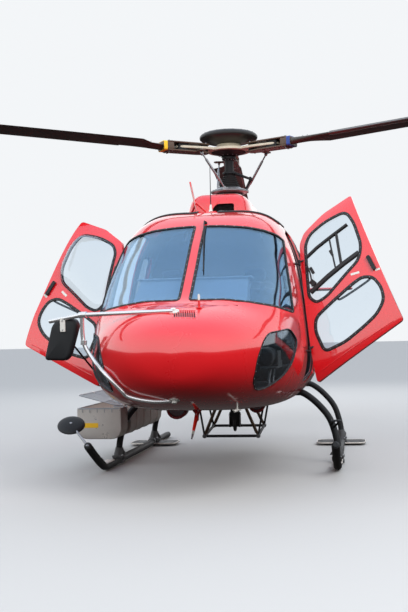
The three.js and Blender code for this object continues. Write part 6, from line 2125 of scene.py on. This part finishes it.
def buildSeats():
    for name, x in (("left", 400.0), ("right", -400.0)):
        makePad("seat_pad_" + name, (x - 238, x + 238, -1818, -1352, 1010, 1178), 70, [(0, x - 100), (0, x + 100)],
                ["seat_" + name])
        makePad("seat_back_" + name, (x - 238, x + 238, -1398, -1262, 1172, 1778), 80,
                [(2, 1330), (2, 1450), (2, 1570), (2, 1690)])
        makePad("head_rest_" + name, (x - 118, x + 118, -1368, -1276, 1784, 1948), 50, [], subdivide=False)
        back = [(-236, 1150), (236, 1150), (225, 1700), (150, 1800), (-150, 1800), (-225, 1700)]
        pan = [(-232, -1808), (232, -1808), (232, -1250), (-232, -1250)]
        shell = [plate(rounded([(x + u, v) for u, v in back], 50), "y", -1262, -1246, 5.0),
                 plate(rounded([(x + u, v) for u, v in pan], 50), "z", 990, 1012, 5.0)]
        shell += [softBox(x + u, x + u + 16, -1700, -1255, 1004, 1150, 30, 4, "x") for u in (-232, 216)]
        makePiece("seat_shell_" + name, joinMeshes(*shell), "trim")
        bars = [tube(curved([(x + s * 150, y, 834), (x + s * 150, y + 10, 900), (x + s * 165, top, 992)], 6), 13, 16)
                for y, top in ((-1770, -1740), (-1360, -1340)) for s in (-1, 1)]
        bars += [softBox(x + s * 150 - 16, x + s * 150 + 16, -1795, -1330, 834, 852, 6, 2) for s in (-1, 1)]
        bars += [rod((x + u, -1322, 1700), (x + u, -1322, 1800), 6, 12) for u in (-50, 50)]
        makePiece("seat_frame_" + name, joinMeshes(*bars), "alloy")
        shoulder = [(62, -1270, 1790), (66, -1340, 1786), (72, -1404, 1730), (74, -1412, 1500), (60, -1416, 1300),
                    (30, -1440, 1205)]
        lap = [(226, -1380, 1060), (222, -1400, 1150), (150, -1450, 1192), (36, -1470, 1196)]
        straps = [belt([(x + s * u, y, z) for u, y, z in line], width) for s in (-1, 1)
                  for line, width in ((shoulder, 46), (lap, 44))]
        makePiece("belts_" + name, joinMeshes(*straps), "webbing")
        buckle = [(0, -8), (30, -8), (34, -2), (34, 6), (28, 12), (12, 14), (0, 14)]
        makePiece("buckle_" + name, spun(buckle, (x, -1458, 1204), (0, -0.5, 1), 36), "alloy")
    upDown = [(0, -375), (0, 0), (0, 375)]
    makePad("bench_pad", (-756, 756, -858, -564, 1000, 1148), 60, upDown, ["rear_bench"], False)
    makePad("bench_back", (-756, 756, -556, -424, 1152, 1798), 70, upDown + [(2, 1500)], (), False)
    frame = [softBox(-750, 750, -850, -560, 972, 1000, 16, 4)]
    frame += [softBox(x - 14, x + 14, y - 14, y + 14, 832, 974, 6, 2) for x in (-700, -240, 240, 700)
              for y in (-820, -600)]
    makePiece("bench_frame", joinMeshes(*frame), "trim")
    places = (-560, -188, 188, 560)
    lap = [(120, -560, 1180), (110, -590, 1166), (60, -700, 1162), (16, -740, 1162)]
    straps = [belt([(x + s * u, y, z) for u, y, z in lap], 44) for x in places for s in (-1, 1)]
    makePiece("bench_belts", joinMeshes(*straps), "webbing")
    tongues = [softBox(x - 22, x + 22, -764, -712, 1160, 1174, 8, 3) for x in places]
    makePiece("bench_buckles", joinMeshes(*tongues), "alloy")
    print("seats built")


# Dials as (x, z, radius), lit screens as (x, z, half width, half height), on the panel's face at y
dialSetup = {"y": -2395.0, "top": 1768,
             "dials": [(-340, 1690, 40), (-240, 1690, 40), (-140, 1690, 40), (-45, 1700, 34), (42, 1700, 34),
                       (-340, 1590, 40), (-240, 1590, 40), (-140, 1590, 34), (-50, 1620, 26), (20, 1620, 26),
                       (-50, 1558, 26), (20, 1558, 26)],
             "screens": [(165, 1650, 74, 84), (345, 1650, 84, 84), (-20, 1474, 96, 46), (230, 1484, 80, 50)]}


def buildPanel():
    y = dialSetup["y"]
    body = prism(rounded(panelFace, 22, 4), "y", -2700, -2300)
    rooms = (prism(rounded(panelDepth, 18, 4), "x", -600, 600),
             box(-600, 600, -2700, -2300, 800, dialSetup["top"]))
    for room in rooms:
        body = shared(body, room)
    # the shell's light blue-grey is partly its own tone and partly painted light
    makePiece("panel_shell", body, "panelShellPaintedLight", replaced=["instrument_panel"])
    plateLine = rounded([(-400, 1420), (455, 1420), (455, 1755), (-400, 1755)], 30)
    face = [plate(plateLine, "y", y + 0.3, y + 8, 2.0)]
    face += [plate(rounded([(-215, 1120), (165, 1120), (185, 1400), (-235, 1400)], 20), "y", y + 0.3, y + 6, 2.0)]
    makePiece("panel_face", joinMeshes(*face), "panel")
    rings, glass, needles = [], [], []
    for x, z, r in dialSetup["dials"]:
        bezel = [(r - 5, 8), (r - 5, 15), (r - 2, 17), (r + 3, 15), (r + 4, 8), (r - 5, 8)]
        rings.append(spun(bezel, (x, y, z), (0, 1, 0), 40))
        glass.append(spun([(0, 10), (r - 5.5, 10), (r - 5.5, 12), (0, 12)], (x, y, z), (0, 1, 0), 40))
        a, reach = random.Random(int(x * 7 + z)).uniform(0.3, 2.6), r - 12
        needles.append(rod((x, y + 12.6, z), (x + math.cos(a) * reach, y + 12.6, z + math.sin(a) * reach), 1.4, 8))
    for x, z, w, h in dialSetup["screens"]:
        outline = rounded([(x - w, z - h), (x + w, z - h), (x + w, z + h), (x - w, z + h)], 12)
        rings.append(less(plate(outline, "y", y + 7, y + 20, 2.0), prism(offset(outline, -12), "y", y + 10, y + 30)))
        glass.append(prism(offset(outline, -12.4), "y", y + 10, y + 14))
    for i in range(7):
        for j in range(3):
            x, z = -180 + i * 52, 1170 + j * 72
            key = rounded([(x - 20, z - 27), (x + 20, z - 27), (x + 20, z + 27), (x - 20, z + 27)], 6, 4)
            rings.append(plate(key, "y", y + 5, y + 14, 2.0))
    makePiece("panel_bezels", joinMeshes(*rings), "black")
    makePiece("panel_glass", joinMeshes(*glass), "screenGlass")
    makePiece("panel_needles", joinMeshes(*needles), "white")
    knob = [(0, 14), (10, 14), (11, 18), (9, 32), (0, 33)]
    knobs = [spun(knob, (x, y, 1185 + 72 * j), (0, 1, 0), 20) for x in (-168, -64, 40, 128) for j in range(3)]
    makePiece("panel_knobs", joinMeshes(*knobs), "trim")
    studs = [((x, y + 8, z), (0, 1, 0)) for x in (-380, -95, 85, 438) for z in (1436, 1740)]
    makePiece("panel_screws", bolts(studs, 6, 3), "alloy")
    hood = [(-2530, 1768.5), (-2360, 1766), (-2345, 1758), (-2338, 1762), (-2356, 1778), (-2470, 1784), (-2530, 1776)]
    # the hood has the same blue-grey, partly painted light
    makePiece("panel_hood", plate(rounded(hood, 4, 3), "x", -470, 500, 4.0), "panelShellPaintedLight")
    vents = [tube(curved([(x, -2560, 1500), (x, -2600, 1400), (x + 30, -2640, 1250), (x + 30, -2600, 1000)]), 26, 20)
             for x in (-150, 120)]
    makePiece("panel_hoses", joinMeshes(*vents), "rubber")
    print("panel built")


def buildCabinInside():
    lining = less(hull(doorThick + 0.5, -3100, bulkheadY - 1), hull(doorThick + 3.0, -3090, bulkheadY - 0.5))
    room = [(-2800, 1560), (-2300, 1560), (-2300, 836), (bulkheadY - 3, 836), (bulkheadY - 3, 2500), (-2800, 2500)]
    lining = shared(lining, throughSide(room))
    cuts = [bothSides(screenCut(offset(screenLine, 2))), bothSides(roofCut(offset(skylightLine, 2)))]
    cuts += [bothSides(sideCut(offset(line, 2), 1)) for line in (frontDoorLine, rearWindowLine)]
    makePiece("cabin_lining", less(lining, *cuts), "lining")
    makePiece("floor_mat", shared(hull(doorThick + 6), slab(-2640, bulkheadY - 4, 830.4, 833.5)), "trim")
    within = hull(doorThick + 40)
    ribs = [shared(within, slab(y - 2, y + 2, 833.5, 836)) for y in range(-2240, -900, 70)]
    makePiece("floor_ribs", joinMeshes(*ribs), "trim")
    noseLining = less(hull(cowlThick + 0.5, -3390, -2400), hull(cowlThick + 3, -3380, -2380))
    noseLining = shared(noseLining, slab(-3400, -2400, 700, 1395))
    makePiece("nose_lining", less(noseLining, bothSides(chinCut(offset(chinLine, 2)))), "lining")
    parts, grips = [], []
    for x in (400, -400):
        stick = curved([(x, -2080, 834), (x, -2090, 1000), (x, -2010, 1150), (x, -1960, 1260), (x, -1975, 1330)], 8)
        parts.append(tube(stick, 13, 18))
        parts.append(spun([(0, 0), (52, 0), (48, 14), (26, 40), (18, 58), (0, 58)], (x, -2080, 834), (0, 0, 1), 32))
        grips.append(tube(curved([(x, -1975, 1322), (x, -1985, 1370), (x + 4, -2000, 1410), (x + 4, -2022, 1438)], 6),
                          [17] * 6 + [20] * 6 + [23] * 6 + [15], 18))
        lever = [(x - 290, -1500, 880), (x - 288, -1700, 930), (x - 286, -1880, 1010)]
        parts.append(tube(curved(lever, 8), 11, 16))
        grip = [(x - 286, -1880, 1010), (x - 285, -1960, 1050), (x - 285, -2000, 1072)]
        grips.append(tube(curved(grip, 6), 18, 18))
        for s in (-1, 1):
            p = x + s * 105
            parts.append(tube(curved([(p, -2420, 834), (p, -2460, 900), (p, -2500, 985)], 6), 9, 14))
            pedal = [softBox(-46, 46, -60, 60, -7, 7, 14, 3)]
            pedal += [softBox(-42, 42, v - 4, v + 4, 7, 10, 3, 1) for v in (-40, -20, 0, 20, 40)]
            leaning = Matrix.Translation((p, -2508, 1000)) @ Matrix.Rotation(math.radians(62), 4, "X")
            grips += [movedMesh(mesh, leaning) for mesh in pedal]
    makePiece("control_tubes", joinMeshes(*parts), "casting")
    makePiece("control_grips", joinMeshes(*grips), "rubber")
    consoles = [softBox(-70, 70, -1800, -1200, 834, 1010, 24, 8), softBox(-60, 60, -1500, -1300, 2380, 2418, 20, 6)]
    makePiece("centre_console", joinMeshes(*consoles), "panel")
    print("cabin built")


buildCabinInside()
buildPanel()
buildSeats()
